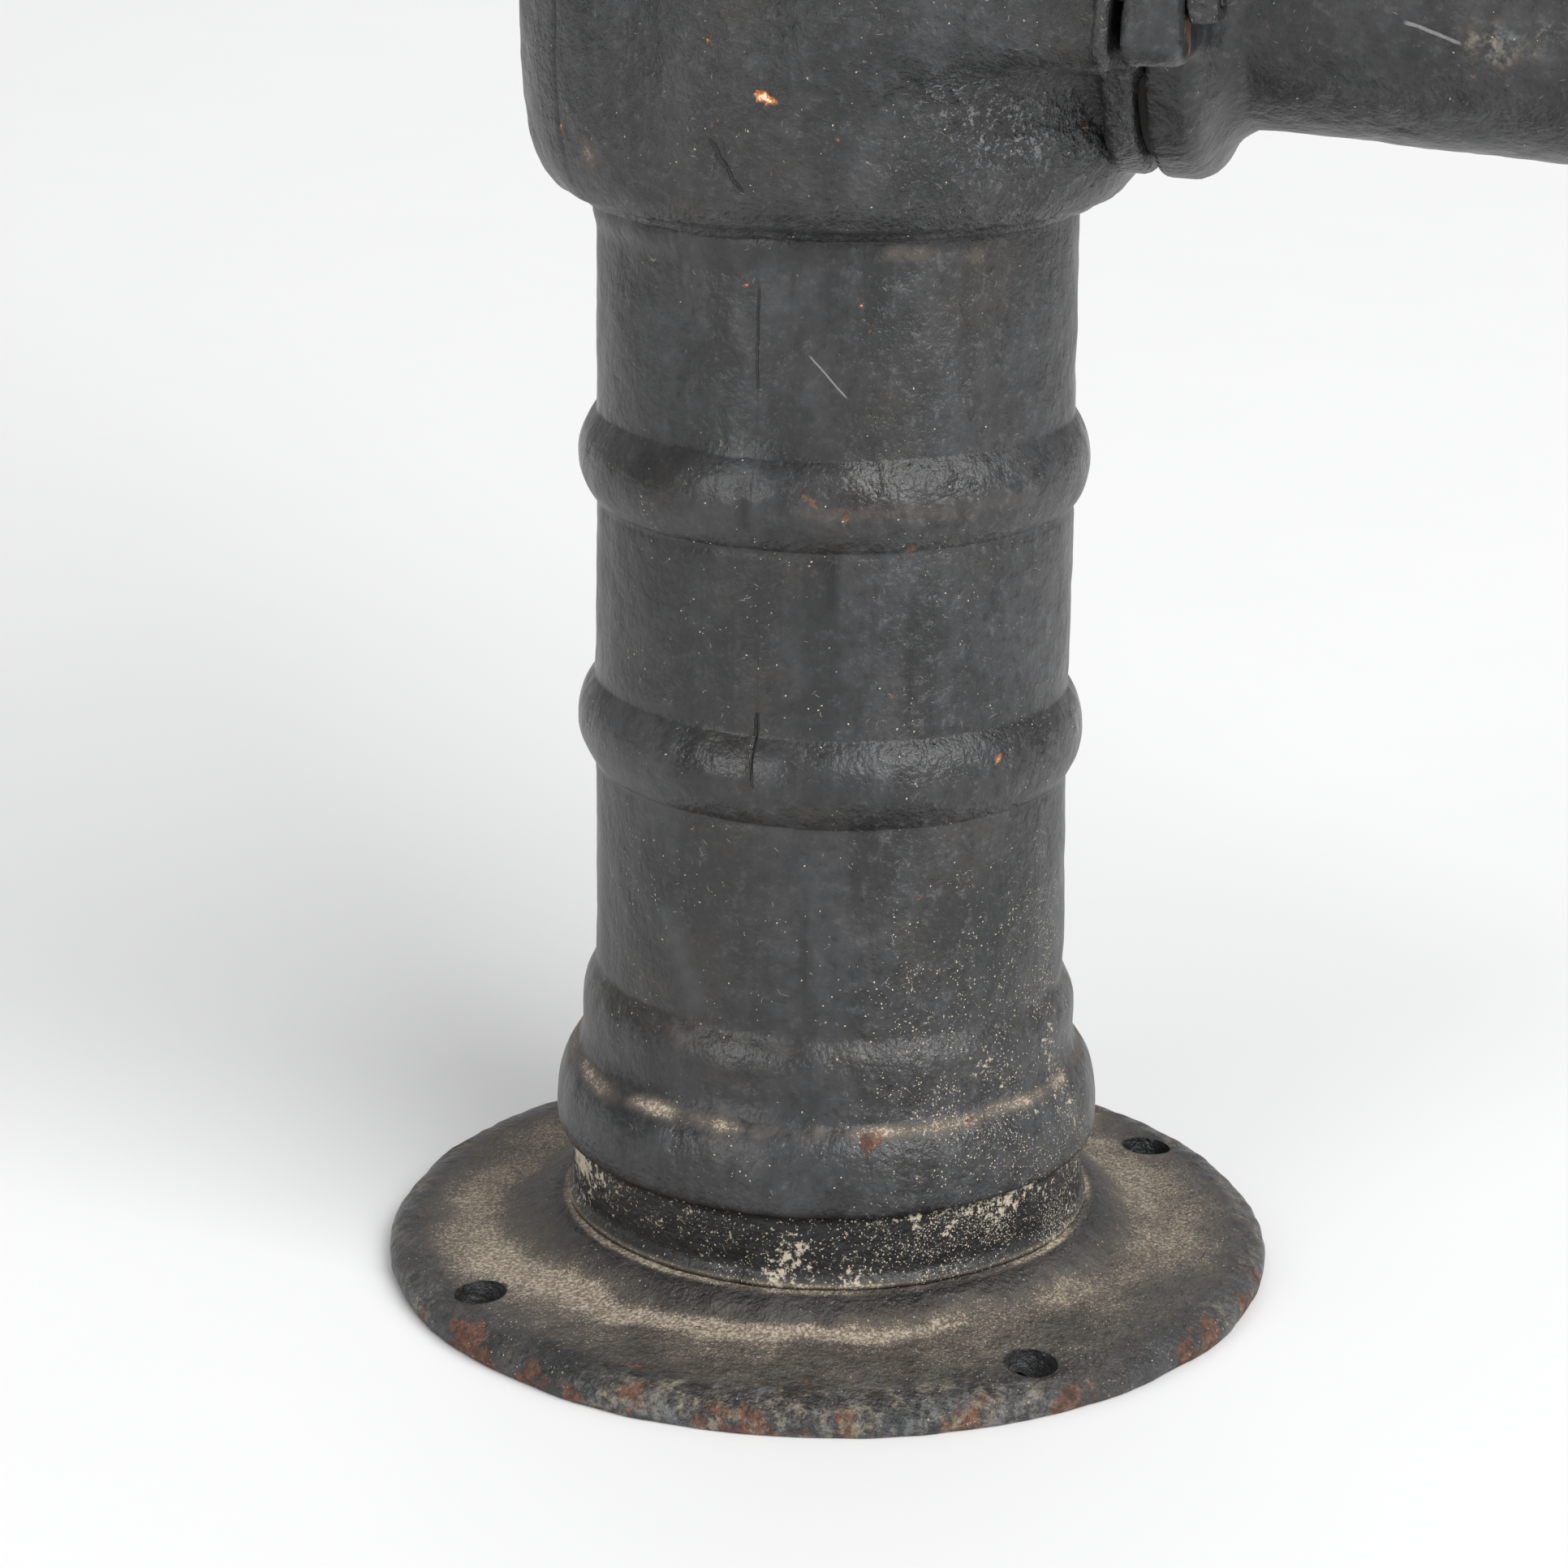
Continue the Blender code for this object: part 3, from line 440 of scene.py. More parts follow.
class Surface:
    """A material under construction: short calls that add shader nodes and return their outputs."""

    def __init__(self, name):
        self.material = bpy.data.materials.new(name)
        self.material.use_nodes = True
        self.tree = self.material.node_tree
        self.shader = self.tree.nodes["Principled BSDF"]
        coordinates = self.tree.nodes.new("ShaderNodeTexCoord")
        self.place = coordinates.outputs["Object"]
        self.normal = coordinates.outputs["Normal"]

    def add(self, kind, *values, **settings):
        node = self.tree.nodes.new(kind)
        for key, value in settings.items():
            setattr(node, key, value)
        for socket, value in zip([s for s in node.inputs if s.enabled], values):
            self.give(socket, value)
        return node

    def give(self, socket, value):
        if isinstance(value, bpy.types.NodeSocket):
            self.tree.links.new(value, socket)
        elif value is not None:
            if socket.type == "RGBA" and len(value) == 3:
                value = (*value, 1.0)
            socket.default_value = value

    def number(self, operation, *values):
        return self.add("ShaderNodeMath", *values, operation=operation).outputs[0]

    def times(self, *values):
        return functools.reduce(lambda one, other: self.number("MULTIPLY", one, other), values)

    def most(self, *values):
        return functools.reduce(lambda one, other: self.number("MAXIMUM", one, other), values)

    def vector(self, operation, *values):
        node = self.add("ShaderNodeVectorMath", *values, operation=operation)
        return node.outputs["Value" if operation in ("DOT_PRODUCT", "LENGTH") else "Vector"]

    def ramp(self, value, low, high, start=0.0, end=1.0):
        """A smooth step from start to end as the value goes from low to high."""
        node = self.add("ShaderNodeMapRange", value, low, high, start, end)
        node.interpolation_type = "SMOOTHSTEP"
        return node.outputs[0]

    def mix(self, share, one, other):
        node = self.add("ShaderNodeMix", data_type="RGBA")
        self.give(node.inputs[0], share)
        self.give(node.inputs[6], one)
        self.give(node.inputs[7], other)
        return node.outputs[2]

    def layer(self, name):
        """A number stored on the mesh's points."""
        return self.add("ShaderNodeAttribute", attribute_name=name).outputs["Fac"]

    def noise(self, scale, detail=3.0, roughness=0.55, place=None, offset=0.0):
        place = place or self.place
        if offset:
            place = self.vector("ADD", place, (offset, offset * 0.7, offset * 1.3))
        node = self.add("ShaderNodeTexNoise")
        self.give(node.inputs["Vector"], place)
        self.give(node.inputs["Scale"], scale)
        self.give(node.inputs["Detail"], detail)
        self.give(node.inputs["Roughness"], roughness)
        return node.outputs["Fac"]

    def stretched(self, x, y, z):
        return self.vector("MULTIPLY", self.place, (x, y, z))

    def total(self, *terms):
        """The sum of (value, weight) terms."""
        result = 0.0
        for value, weight in terms:
            result = self.number("MULTIPLY_ADD", value, weight, result)
        return result

    def finish(self, colour, roughness, height, metallic=None):
        self.give(self.shader.inputs["Base Color"], colour)
        self.give(self.shader.inputs["Roughness"], roughness)
        if metallic is not None:
            self.give(self.shader.inputs["Metallic"], metallic)
        bump = self.add("ShaderNodeBump")
        self.give(bump.inputs["Distance"], 1.0)
        self.give(bump.inputs["Strength"], 1.0)
        self.give(bump.inputs["Height"], height)
        self.give(self.shader.inputs["Normal"], bump.outputs["Normal"])
        return self.material


def fleck_group():
    """Short stray hairs and crumbs lying flat on a surface, one in some cells of a random pattern."""
    group = bpy.data.node_groups.new("flecks", "ShaderNodeTree")
    for name, kind in (
        ("Place", "NodeSocketVector"), ("Normal", "NodeSocketVector"), ("Cells", "NodeSocketFloat"),
        ("Length", "NodeSocketFloat"), ("Width", "NodeSocketFloat"), ("Amount", "NodeSocketFloat"),
        ("Bend", "NodeSocketFloat"),
    ):
        group.interface.new_socket(name, in_out="INPUT", socket_type=kind)
    group.interface.new_socket("Mask", in_out="OUTPUT", socket_type="NodeSocketFloat")
    begin = group.nodes.new("NodeGroupInput").outputs
    end = group.nodes.new("NodeGroupOutput").inputs

    def node(kind, operation, *values):
        made = group.nodes.new(kind)
        made.operation = operation
        for socket, value in zip(made.inputs, values):
            if isinstance(value, bpy.types.NodeSocket):
                group.links.new(value, socket)
            else:
                socket.default_value = value
        return made

    def vector(operation, *values):
        made = node("ShaderNodeVectorMath", operation, *values)
        return made.outputs["Value" if operation in ("DOT_PRODUCT", "LENGTH") else "Vector"]

    def scaled(value, factor):
        made = node("ShaderNodeVectorMath", "SCALE", value)
        group.links.new(factor, made.inputs["Scale"])
        return made.outputs["Vector"]

    def number(operation, *values):
        return node("ShaderNodeMath", operation, *values).outputs[0]

    curl = group.nodes.new("ShaderNodeTexNoise")
    curl.inputs["Scale"].default_value = 420.0
    curl.inputs["Detail"].default_value = 1.0
    group.links.new(begin["Place"], curl.inputs["Vector"])
    shifted = vector("SUBTRACT", curl.outputs["Color"], (0.5, 0.5, 0.5))
    place = vector("ADD", begin["Place"], scaled(shifted, begin["Bend"]))
    cells = group.nodes.new("ShaderNodeTexVoronoi")
    group.links.new(place, cells.inputs["Vector"])
    group.links.new(begin["Cells"], cells.inputs["Scale"])
    away = vector("SUBTRACT", place, cells.outputs["Position"])
    away = vector("SUBTRACT", away, scaled(begin["Normal"], vector("DOT_PRODUCT", away, begin["Normal"])))
    ahead = vector("SUBTRACT", cells.outputs["Color"], (0.5, 0.5, 0.5))
    ahead = vector("SUBTRACT", ahead, scaled(begin["Normal"], vector("DOT_PRODUCT", ahead, begin["Normal"])))
    ahead = vector("NORMALIZE", ahead)
    along = vector("DOT_PRODUCT", away, ahead)
    aside = vector("LENGTH", vector("SUBTRACT", away, scaled(ahead, along)))
    along = number("POWER", number("DIVIDE", along, begin["Length"]), 2.0)
    aside = number("POWER", number("DIVIDE", aside, begin["Width"]), 2.0)
    shape = number("LESS_THAN", number("ADD", along, aside), 1.0)
    split = group.nodes.new("ShaderNodeSeparateColor")
    group.links.new(cells.outputs["Color"], split.inputs[0])
    chosen = number("LESS_THAN", split.outputs[1], begin["Amount"])
    group.links.new(number("MULTIPLY", shape, chosen), end["Mask"])
    return group


FLECKS = fleck_group()


def flecks(surface, cells, length, width, amount, bend=0.0006, offset=0.0):
    place = surface.vector("ADD", surface.place, (offset, offset, offset))
    node = surface.add("ShaderNodeGroup", node_tree=FLECKS)
    for key, value in zip(
        ("Place", "Normal", "Cells", "Length", "Width", "Amount", "Bend"),
        (place, surface.normal, cells, length, width, amount, bend),
    ):
        surface.give(node.inputs[key], value)
    return node.outputs["Mask"]


PAINT_DEEP = (0.0135, 0.0139, 0.0149)
PAINT_WORN = (0.0390, 0.0400, 0.0422)
PALE_PAINT_AND_HIGHLIGHT = (0.052, 0.054, 0.057)
WORN_AND_LIT_TOPS = (0.080, 0.081, 0.084)
PAINTED_GLINT = (0.210, 0.213, 0.220)
SCRATCH = (0.24, 0.24, 0.24)
PAINT_BROWN = (0.036, 0.030, 0.024)
BLACK_PAINT_AND_SHADE = (0.0050, 0.0050, 0.0053)
DUST = (0.135, 0.113, 0.090)
SAND_DARK = (0.22, 0.175, 0.130)
SAND_PALE = (0.50, 0.43, 0.335)
LINT = (0.46, 0.43, 0.37)
CREAM = (0.52, 0.46, 0.36)
CRUST_AND_SHEEN_GREY = (0.17, 0.175, 0.175)
CRUST_SAND = (0.30, 0.26, 0.19)
RUST_DARK = (0.060, 0.030, 0.020)
RUST_BRIGHT = (0.200, 0.090, 0.054)
CHIP_BROWN = (0.22, 0.085, 0.035)
CHIP_ORANGE = (0.52, 0.20, 0.07)
CHIP_CREAM = (0.80, 0.62, 0.42)


def scored(s, start, end, facing, width, wander):
    """Share of a thin wandering line between two points of a surface that faces this way."""
    start, end, facing = Vector(start), Vector(end), Vector(facing).normalized()
    ahead = (end - start).normalized()
    side = facing.cross(ahead)
    drift = s.number(
        "MULTIPLY_ADD", s.noise(150.0, 3.0, 0.6, offset=1.9), 2.0 * wander, -wander - side.dot(start)
    )
    away = s.number("ABSOLUTE", s.number("ADD", s.vector("DOT_PRODUCT", s.place, tuple(side)), drift))
    line = s.ramp(away, width + 0.00025, width)
    along = s.vector("DOT_PRODUCT", s.place, tuple(ahead))
    line = s.times(line, s.ramp(along, ahead.dot(start) - 0.0008, ahead.dot(start) + 0.0010))
    line = s.times(line, s.ramp(along, ahead.dot(end) + 0.0008, ahead.dot(end) - 0.0010))
    front = s.vector("DOT_PRODUCT", s.place, tuple(facing))
    return s.times(line, s.number("GREATER_THAN", front, facing.dot(start) - 0.012))


def wall_line(a, top, b, bottom, radius, width, wander, pale=False):
    """A scored line on a round wall, from an angle and height to another, for painted_iron."""
    middle = math.radians((a + b) / 2)
    facing = (math.cos(middle), math.sin(middle), 0.0)
    return on_wall(a, radius, top), on_wall(b, radius, bottom), facing, width, wander, pale


# What a mesh's points may hold for painted_iron, from 0 to 1: dust and lint lying on the paint, rust,
# chips through to the primer, darker paint and painted shade, smooth instead of pebbled relief, grey crust
# that is also a painted silvery sheen on the flange's rim, cream flakes, paler paint and a painted highlight,
# a shinier coat, and painted glints on the pebbles' tops
LAYERS = ("dust", "lint", "rust", "chip", "black", "smooth", "crust_and_sheen", "flaked", "pale", "glossy", "painted_glint_share")


def painted_iron(name, gloss=0.40, pebble=1.0, lint=1.0, brown=0.5, tone=1.0, lines=()):
    """Brushed black paint on rough cast iron, with dust, lint, rust and chips, and painted shade, highlights
    and glints, where the layers say.
    """
    s = Surface(name)
    dust, linty, rust, chip, black, smooth, crust_and_sheen, flaked, pale, glossy, painted_glint_share = map(s.layer, LAYERS)
    # Noises from a hand's width down to the grain of the paint, and the brush's marks down the walls
    broad = s.noise(11.0, 2.0)
    middle = s.noise(48.0, 4.0, 0.6, offset=3.1)
    pebbles = s.noise(230.0, 3.0, 0.55, offset=8.2)
    fine = s.noise(620.0, 3.0, 0.6, offset=1.7)
    grain = s.noise(1700.0, 2.0, 0.6, offset=5.3)
    brush = s.noise(1.0, 4.0, 0.6, place=s.stretched(80.0, 80.0, 14.0))
    strokes = s.noise(1.0, 2.0, 0.5, place=s.stretched(520.0, 520.0, 60.0))

    worn = s.ramp(s.total((broad, 0.8), (brush, 0.9), (middle, 0.7), (pebbles, 0.3)), 1.15, 1.65)
    deep = tuple(c * tone for c in PAINT_DEEP)
    colour = s.mix(worn, deep, tuple(c * tone for c in PAINT_WORN))
    stain = s.ramp(s.total((s.noise(22.0, 5.0, 0.65, offset=7.9), 1.0), (fine, 0.3)), 0.60, 0.85, 0.0, brown)
    colour = s.mix(stain, colour, PAINT_BROWN)

    # Pebble tops lightened as worn paint and painted highlight, their hollows darkened as painted shade, then
    # painted glints on bright facets
    rugged = s.number("SUBTRACT", 1.0, s.times(smooth, 0.85))
    pebbled = s.total((pebbles, 1.0), (fine, 0.9), (grain, 0.5))
    worn_and_lit_tops = s.times(s.ramp(pebbled, 1.26, 1.52), s.number("MULTIPLY_ADD", rugged, 0.45, 0.10))
    shaded_hollows = s.times(s.ramp(pebbled, 1.12, 0.88), s.number("MULTIPLY_ADD", rugged, 0.35, 0.30))
    colour = s.mix(worn_and_lit_tops, colour, WORN_AND_LIT_TOPS)
    colour = s.mix(shaded_hollows, colour, BLACK_PAINT_AND_SHADE)
    glint_facets = s.total((fine, 1.0), (grain, 0.7), (pebbles, 0.35), (middle, 0.2))
    painted_glints = s.times(s.ramp(glint_facets, 1.19, 1.31), s.ramp(painted_glint_share, 0.05, 0.90, 0.0, 0.85))
    colour = s.mix(painted_glints, colour, PAINTED_GLINT)
    # Paler paint in patches, and a painted highlight on the column's lower band
    colour = s.mix(pale, colour, PALE_PAINT_AND_HIGHLIGHT)
    # Darker paint, and painted shade at the flange's hub, round its holes, in the spout's gouges and over a
    # pit cluster
    colour = s.mix(black, colour, BLACK_PAINT_AND_SHADE)

    # Dust as a thin film and as loose grains
    film = s.total((dust, 1.0), (middle, 0.55), (pebbles, 0.25), (fine, 0.20))
    film = s.ramp(film, 0.60, 1.50, 0.0, 0.85)
    colour = s.mix(film, colour, DUST)
    grains = s.ramp(s.total((grain, 0.8), (fine, 0.3), (dust, 0.66), (middle, 0.45)), 1.20, 1.42)
    sand = s.mix(s.ramp(s.noise(900.0, 2.0, offset=3.3), 0.40, 0.62), SAND_DARK, SAND_PALE)
    colour = s.mix(s.times(grains, 0.90), colour, sand)

    # Rust in patches, freckled round them
    pitted = s.noise(150.0, 6.0, 0.68, offset=2.3)
    rusted = s.ramp(s.total((rust, 1.0), (pitted, 1.4)), 1.12, 1.22)
    freckles = s.ramp(
        s.total((s.noise(260.0, 3.0, 0.6, offset=9.4), 1.0), (middle, 0.4)), 0.93, 1.02, 0.0, 0.7
    )
    rust_tone = s.mix(
        s.ramp(s.total((s.noise(300.0, 4.0, 0.65), 1.0), (fine, 0.4)), 0.55, 0.90), RUST_DARK, RUST_BRIGHT
    )
    freckles = s.times(freckles, s.ramp(rust, 0.05, 0.30))
    colour = s.mix(freckles, colour, rust_tone)
    colour = s.mix(s.times(rusted, 0.85), colour, rust_tone)

    # Crust where the coat has weathered down to grey and sand; the grey also paints a silvery sheen on the
    # flange's rim
    mottle = s.ramp(s.total((s.noise(260.0, 5.0, 0.75, offset=4.4), 1.0), (middle, 0.3)), 0.60, 0.82)
    crust_and_sheen_share = s.times(s.ramp(s.total((crust_and_sheen, 1.0), (middle, 0.7)), 0.50, 1.20), mottle)
    crust_and_sheen_tone = s.mix(s.ramp(s.noise(90.0, 3.0, offset=3.7), 0.42, 0.58), CRUST_AND_SHEEN_GREY, CRUST_SAND)
    colour = s.mix(s.times(crust_and_sheen_share, 0.75), colour, crust_and_sheen_tone)

    # Chips: a brown edge, orange primer and a pale heart
    ragged = s.total((chip, 1.0), (fine, 0.6), (grain, 0.3), (pebbles, 0.5))
    brown_ring = s.ramp(ragged, 1.12, 1.20)
    orange = s.ramp(ragged, 1.22, 1.28)
    cream = s.ramp(ragged, 1.30, 1.38)
    colour = s.mix(brown_ring, colour, CHIP_BROWN)
    colour = s.mix(orange, colour, CHIP_ORANGE)
    colour = s.mix(cream, colour, CHIP_CREAM)

    # Lint and crumbs, gathered in clumps
    amount = s.times(linty, lint)
    clumps = s.ramp(s.noise(60.0, 4.0, 0.65, offset=6.6), 0.42, 0.64, 0.15, 1.7)
    clumped = s.times(amount, amount, clumps)
    gathered = s.times(amount, s.ramp(clumps, 0.3, 1.5))
    hairs = flecks(s, 300.0, 0.00095, 0.00009, s.times(gathered, 0.55), 0.0014)
    strands = flecks(s, 130.0, 0.0020, 0.00010, s.times(gathered, 0.32), 0.0034, 0.37)
    crumbs = flecks(s, 600.0, 0.00032, 0.00020, s.times(clumped, 0.30), 0.0005, 0.71)
    grit = flecks(s, 1000.0, 0.00018, 0.00013, s.times(clumped, 0.24), 0.0002, 0.53)
    flakes = s.total((flaked, 1.0), (s.noise(420.0, 5.0, 0.72, offset=2.9), 1.0), (middle, 0.6))
    flakes = s.ramp(flakes, 1.44, 1.52)
    stray = s.most(hairs, strands)
    specks = s.most(crumbs, grit, flakes)
    colour = s.mix(s.times(stray, 0.38), colour, LINT)
    colour = s.mix(s.times(specks, 0.92), colour, CREAM)

    dark_line = pale_line = 0.0
    for *line, is_pale in lines:
        if is_pale:
            pale_line = s.most(pale_line, scored(s, *line))
        else:
            dark_line = s.most(dark_line, scored(s, *line))
    colour = s.mix(s.times(dark_line, 0.85), colour, BLACK_PAINT_AND_SHADE)
    colour = s.mix(s.times(pale_line, 0.75), colour, SCRATCH)

    # Everything on the paint is matt, and the paint's own sheen varies
    matt = s.most(film, grains, specks, brown_ring, rusted)
    sheen = s.total((middle, 0.30), (brush, 0.26), (fine, 0.14), (smooth, -0.03), (glossy, -0.13))
    sheen = s.number("ADD", sheen, gloss - 0.38)
    rough = s.add("ShaderNodeMix", data_type="FLOAT")
    for socket, value in zip((rough.inputs[0], rough.inputs[2], rough.inputs[3]), (matt, sheen, 0.90)):
        s.give(socket, value)

    relief = s.total((pebbles, 0.00150 * pebble), (fine, 0.00070 * pebble), (grain, 0.00022 * pebble))
    height = s.total(
        (middle, 0.00170), (brush, 0.00050), (strokes, 0.00004),
        (fine, 0.00014), (s.times(relief, rugged), 1.0),
        (grains, 0.00010), (rusted, -0.00010), (crust_and_sheen_share, 0.00012), (brown_ring, -0.00016),
        (stray, 0.00003), (specks, 0.00006), (dark_line, -0.00040),
    )
    return s.finish(colour, rough.outputs[0], height)


def stained_metal(name, bright, dark, spot, roughness):
    """Bare metal with a thin stain, and rust or verdigris spots of another colour."""
    s = Surface(name)
    broad = s.noise(60.0, 4.0, 0.6)
    fine = s.noise(420.0, 4.0, 0.6, offset=2.0)
    turned = s.noise(1.0, 2.0, 0.5, place=s.stretched(40.0, 40.0, 2200.0))
    colour = s.mix(s.ramp(s.total((broad, 0.8), (fine, 0.4)), 0.42, 0.80), bright, dark)
    eaten = s.ramp(s.total((s.noise(150.0, 5.0, 0.65, offset=4.0), 1.0), (fine, 0.3)), 0.66, 0.78)
    colour = s.mix(eaten, colour, spot)
    rough = s.total((broad, 0.20), (fine, 0.18), (eaten, 0.30))
    rough = s.number("ADD", rough, roughness - 0.19)
    shine = s.number("MULTIPLY_ADD", eaten, -0.8, 1.0)
    height = s.total((fine, 0.00006), (turned, 0.00002), (eaten, 0.00006))
    return s.finish(colour, rough, height, shine)


def soft_stuff(name, pale, dark, roughness, grain, stretch=(1.0, 1.0, 1.0)):
    """Leather, rubber or hemp: a fine-grained matt material."""
    s = Surface(name)
    place = s.stretched(*(grain * k for k in stretch))
    grained = s.noise(1.0, 5.0, 0.62, place=place)
    broad = s.noise(35.0, 3.0, offset=1.0)
    colour = s.mix(s.ramp(s.total((grained, 0.8), (broad, 0.6)), 0.45, 0.95), dark, pale)
    rough = s.number("MULTIPLY_ADD", grained, 0.2, roughness - 0.1)
    return s.finish(colour, rough, s.times(grained, 0.00025))


# Pieces: castings


def grime(points, normals, seed, dust=0.5, lint=0.12, rust=0.0):
    """The usual dirt: dust where the surface faces up, lint all over, rust in patches."""
    facing_up = ease(0.35, 0.95, normals[:, 2])
    patches = rough_noise(points, 0.03, seed)
    return {
        "dust": dust * facing_up + 0.10 * patches,
        "lint": np.full(len(points), lint),
        "rust": rust + 0.10 * rough_noise(points, 0.02, seed + 5),
    }


def roughened(points, faces, seed, wobble=0.0004, dents=0.0002, share=1.0):
    """Points moved along their normals by casting roughness, and those normals."""
    normals = vertex_normals(points, faces)
    move = wobble * rough_noise(points, 0.05, seed) + dents * rough_noise(points, 0.012, seed + 7)
    return points + normals * (move * share)[:, None], normals


def column_radius(z):
    return COLUMN_MEAN_RADIUS - COLUMN_TAPER * (z - 0.2)


def column_outline():
    """The column's outer face from its top to its spigot, then its foot, floor and bore."""
    outer = [(column_radius(COLUMN_TOP), COLUMN_TOP)]
    for top, bottom in BANDS:
        for i in range(25):
            turn = math.pi * i / 24
            z = (top + bottom) / 2 + (top - bottom) / 2 * math.cos(turn)
            outer.append((column_radius(z) + BAND_CREST * math.sin(turn) ** 2, z))
    outer += [(0.0730, 0.0980), (0.0742, 0.0958), (0.0762, 0.0915), (0.0768, 0.0880), (0.0768, 0.0765)]
    outer += [(0.0775, 0.0745), (0.0800, 0.0705), (0.0825, 0.0665), (0.0842, 0.0610), (0.0849, 0.0550)]
    outer += [(0.0849, 0.0500), (0.0846, 0.0455)]
    outer += [(0.0813, 0.0445), (0.0805, 0.0245), (0.0822, 0.0236), (0.0822, HUB_TOP + GAP)]
    outer = softened(spaced(outer, 0.0015), 1)
    inner = [(SPIGOT_RADIUS, HUB_TOP + GAP), (SPIGOT_RADIUS, SPIGOT_SEAT + GAP)]
    inner += [(SUCTION_RADIUS, SPIGOT_SEAT + GAP), (SUCTION_RADIUS, FLOOR_TOP), (CHAMBER_RADIUS, FLOOR_TOP)]
    inner += [
        (CHAMBER_RADIUS, LINER_SEAT), (LINER_RADIUS + GAP, LINER_SEAT), (LINER_RADIUS + GAP, COLUMN_TOP)
    ]
    return outer, inner


def stripe(angle, z, at, reach, top, bottom, radius=0.0740, edge=0.0015):
    """1 along a vertical mark on a round wall at this angle, fading to 0 beside and beyond it."""
    ends = ease(bottom - edge, bottom + edge, z) * ease(top + edge, top - edge, z)
    return bell(arc(angle, at, radius), reach) * ends


# Chips (angle, height), dark runs and a pit cluster in painted shade (angle, top, bottom, reach, share)
# and pits (angle, height, reach, depth)
COLUMN_DOTS = (
    (-69.5, 0.3210), (-67.8, 0.3133), (-118.3, 0.2558), (-54.1, 0.1413), (-42.9, 0.1927), (-96.5, 0.3253),
    (-61.0, 0.2050), (-128.0, 0.1520), (35.0, 0.2300), (120.0, 0.3050), (-175.0, 0.1200),
)
COLUMN_STREAKS = (
    (-75.7, 0.2455, 0.2312, 0.0022, 0.90), (-77.5, 0.2462, 0.2435, 0.0040, 0.70),
    (-57.0, 0.2316, 0.1940, 0.0013, 0.55),
    (-113.7, 0.3380, 0.3215, 0.0014, 0.40), (-94.8, 0.2690, 0.2555, 0.0018, 0.85),
    (-81.0, 0.1380, 0.1130, 0.0013, 0.60),
    (-85.1, 0.3306, 0.3225, 0.0014, 0.50), (-99.0, 0.2480, 0.1960, 0.0100, 0.20),
    (-68.0, 0.3350, 0.2800, 0.0040, 0.25),
)
COLUMN_PITS = (
    (-82.6, 0.3108, 0.0030, 0.0007), (-93.4, 0.0847, 0.0022, 0.0008), (-89.2, 0.0854, 0.0018, 0.0006),
    (-84.7, 0.0575, 0.0030, 0.0009), (-54.4, 0.2247, 0.0016, 0.0006), (-97.4, 0.2662, 0.0020, 0.0006),
    (-95.0, 0.2610, 0.0018, 0.0005), (-92.4, 0.2561, 0.0020, 0.0006), (-81.0, 0.1330, 0.0016, 0.0005),
    (-81.4, 0.1255, 0.0016, 0.0005), (-80.7, 0.1170, 0.0016, 0.0005), (60.0, 0.1400, 0.0030, 0.0007),
    (150.0, 0.2700, 0.0040, 0.0007),
)
SEAMS = (-93.0, 87.0)


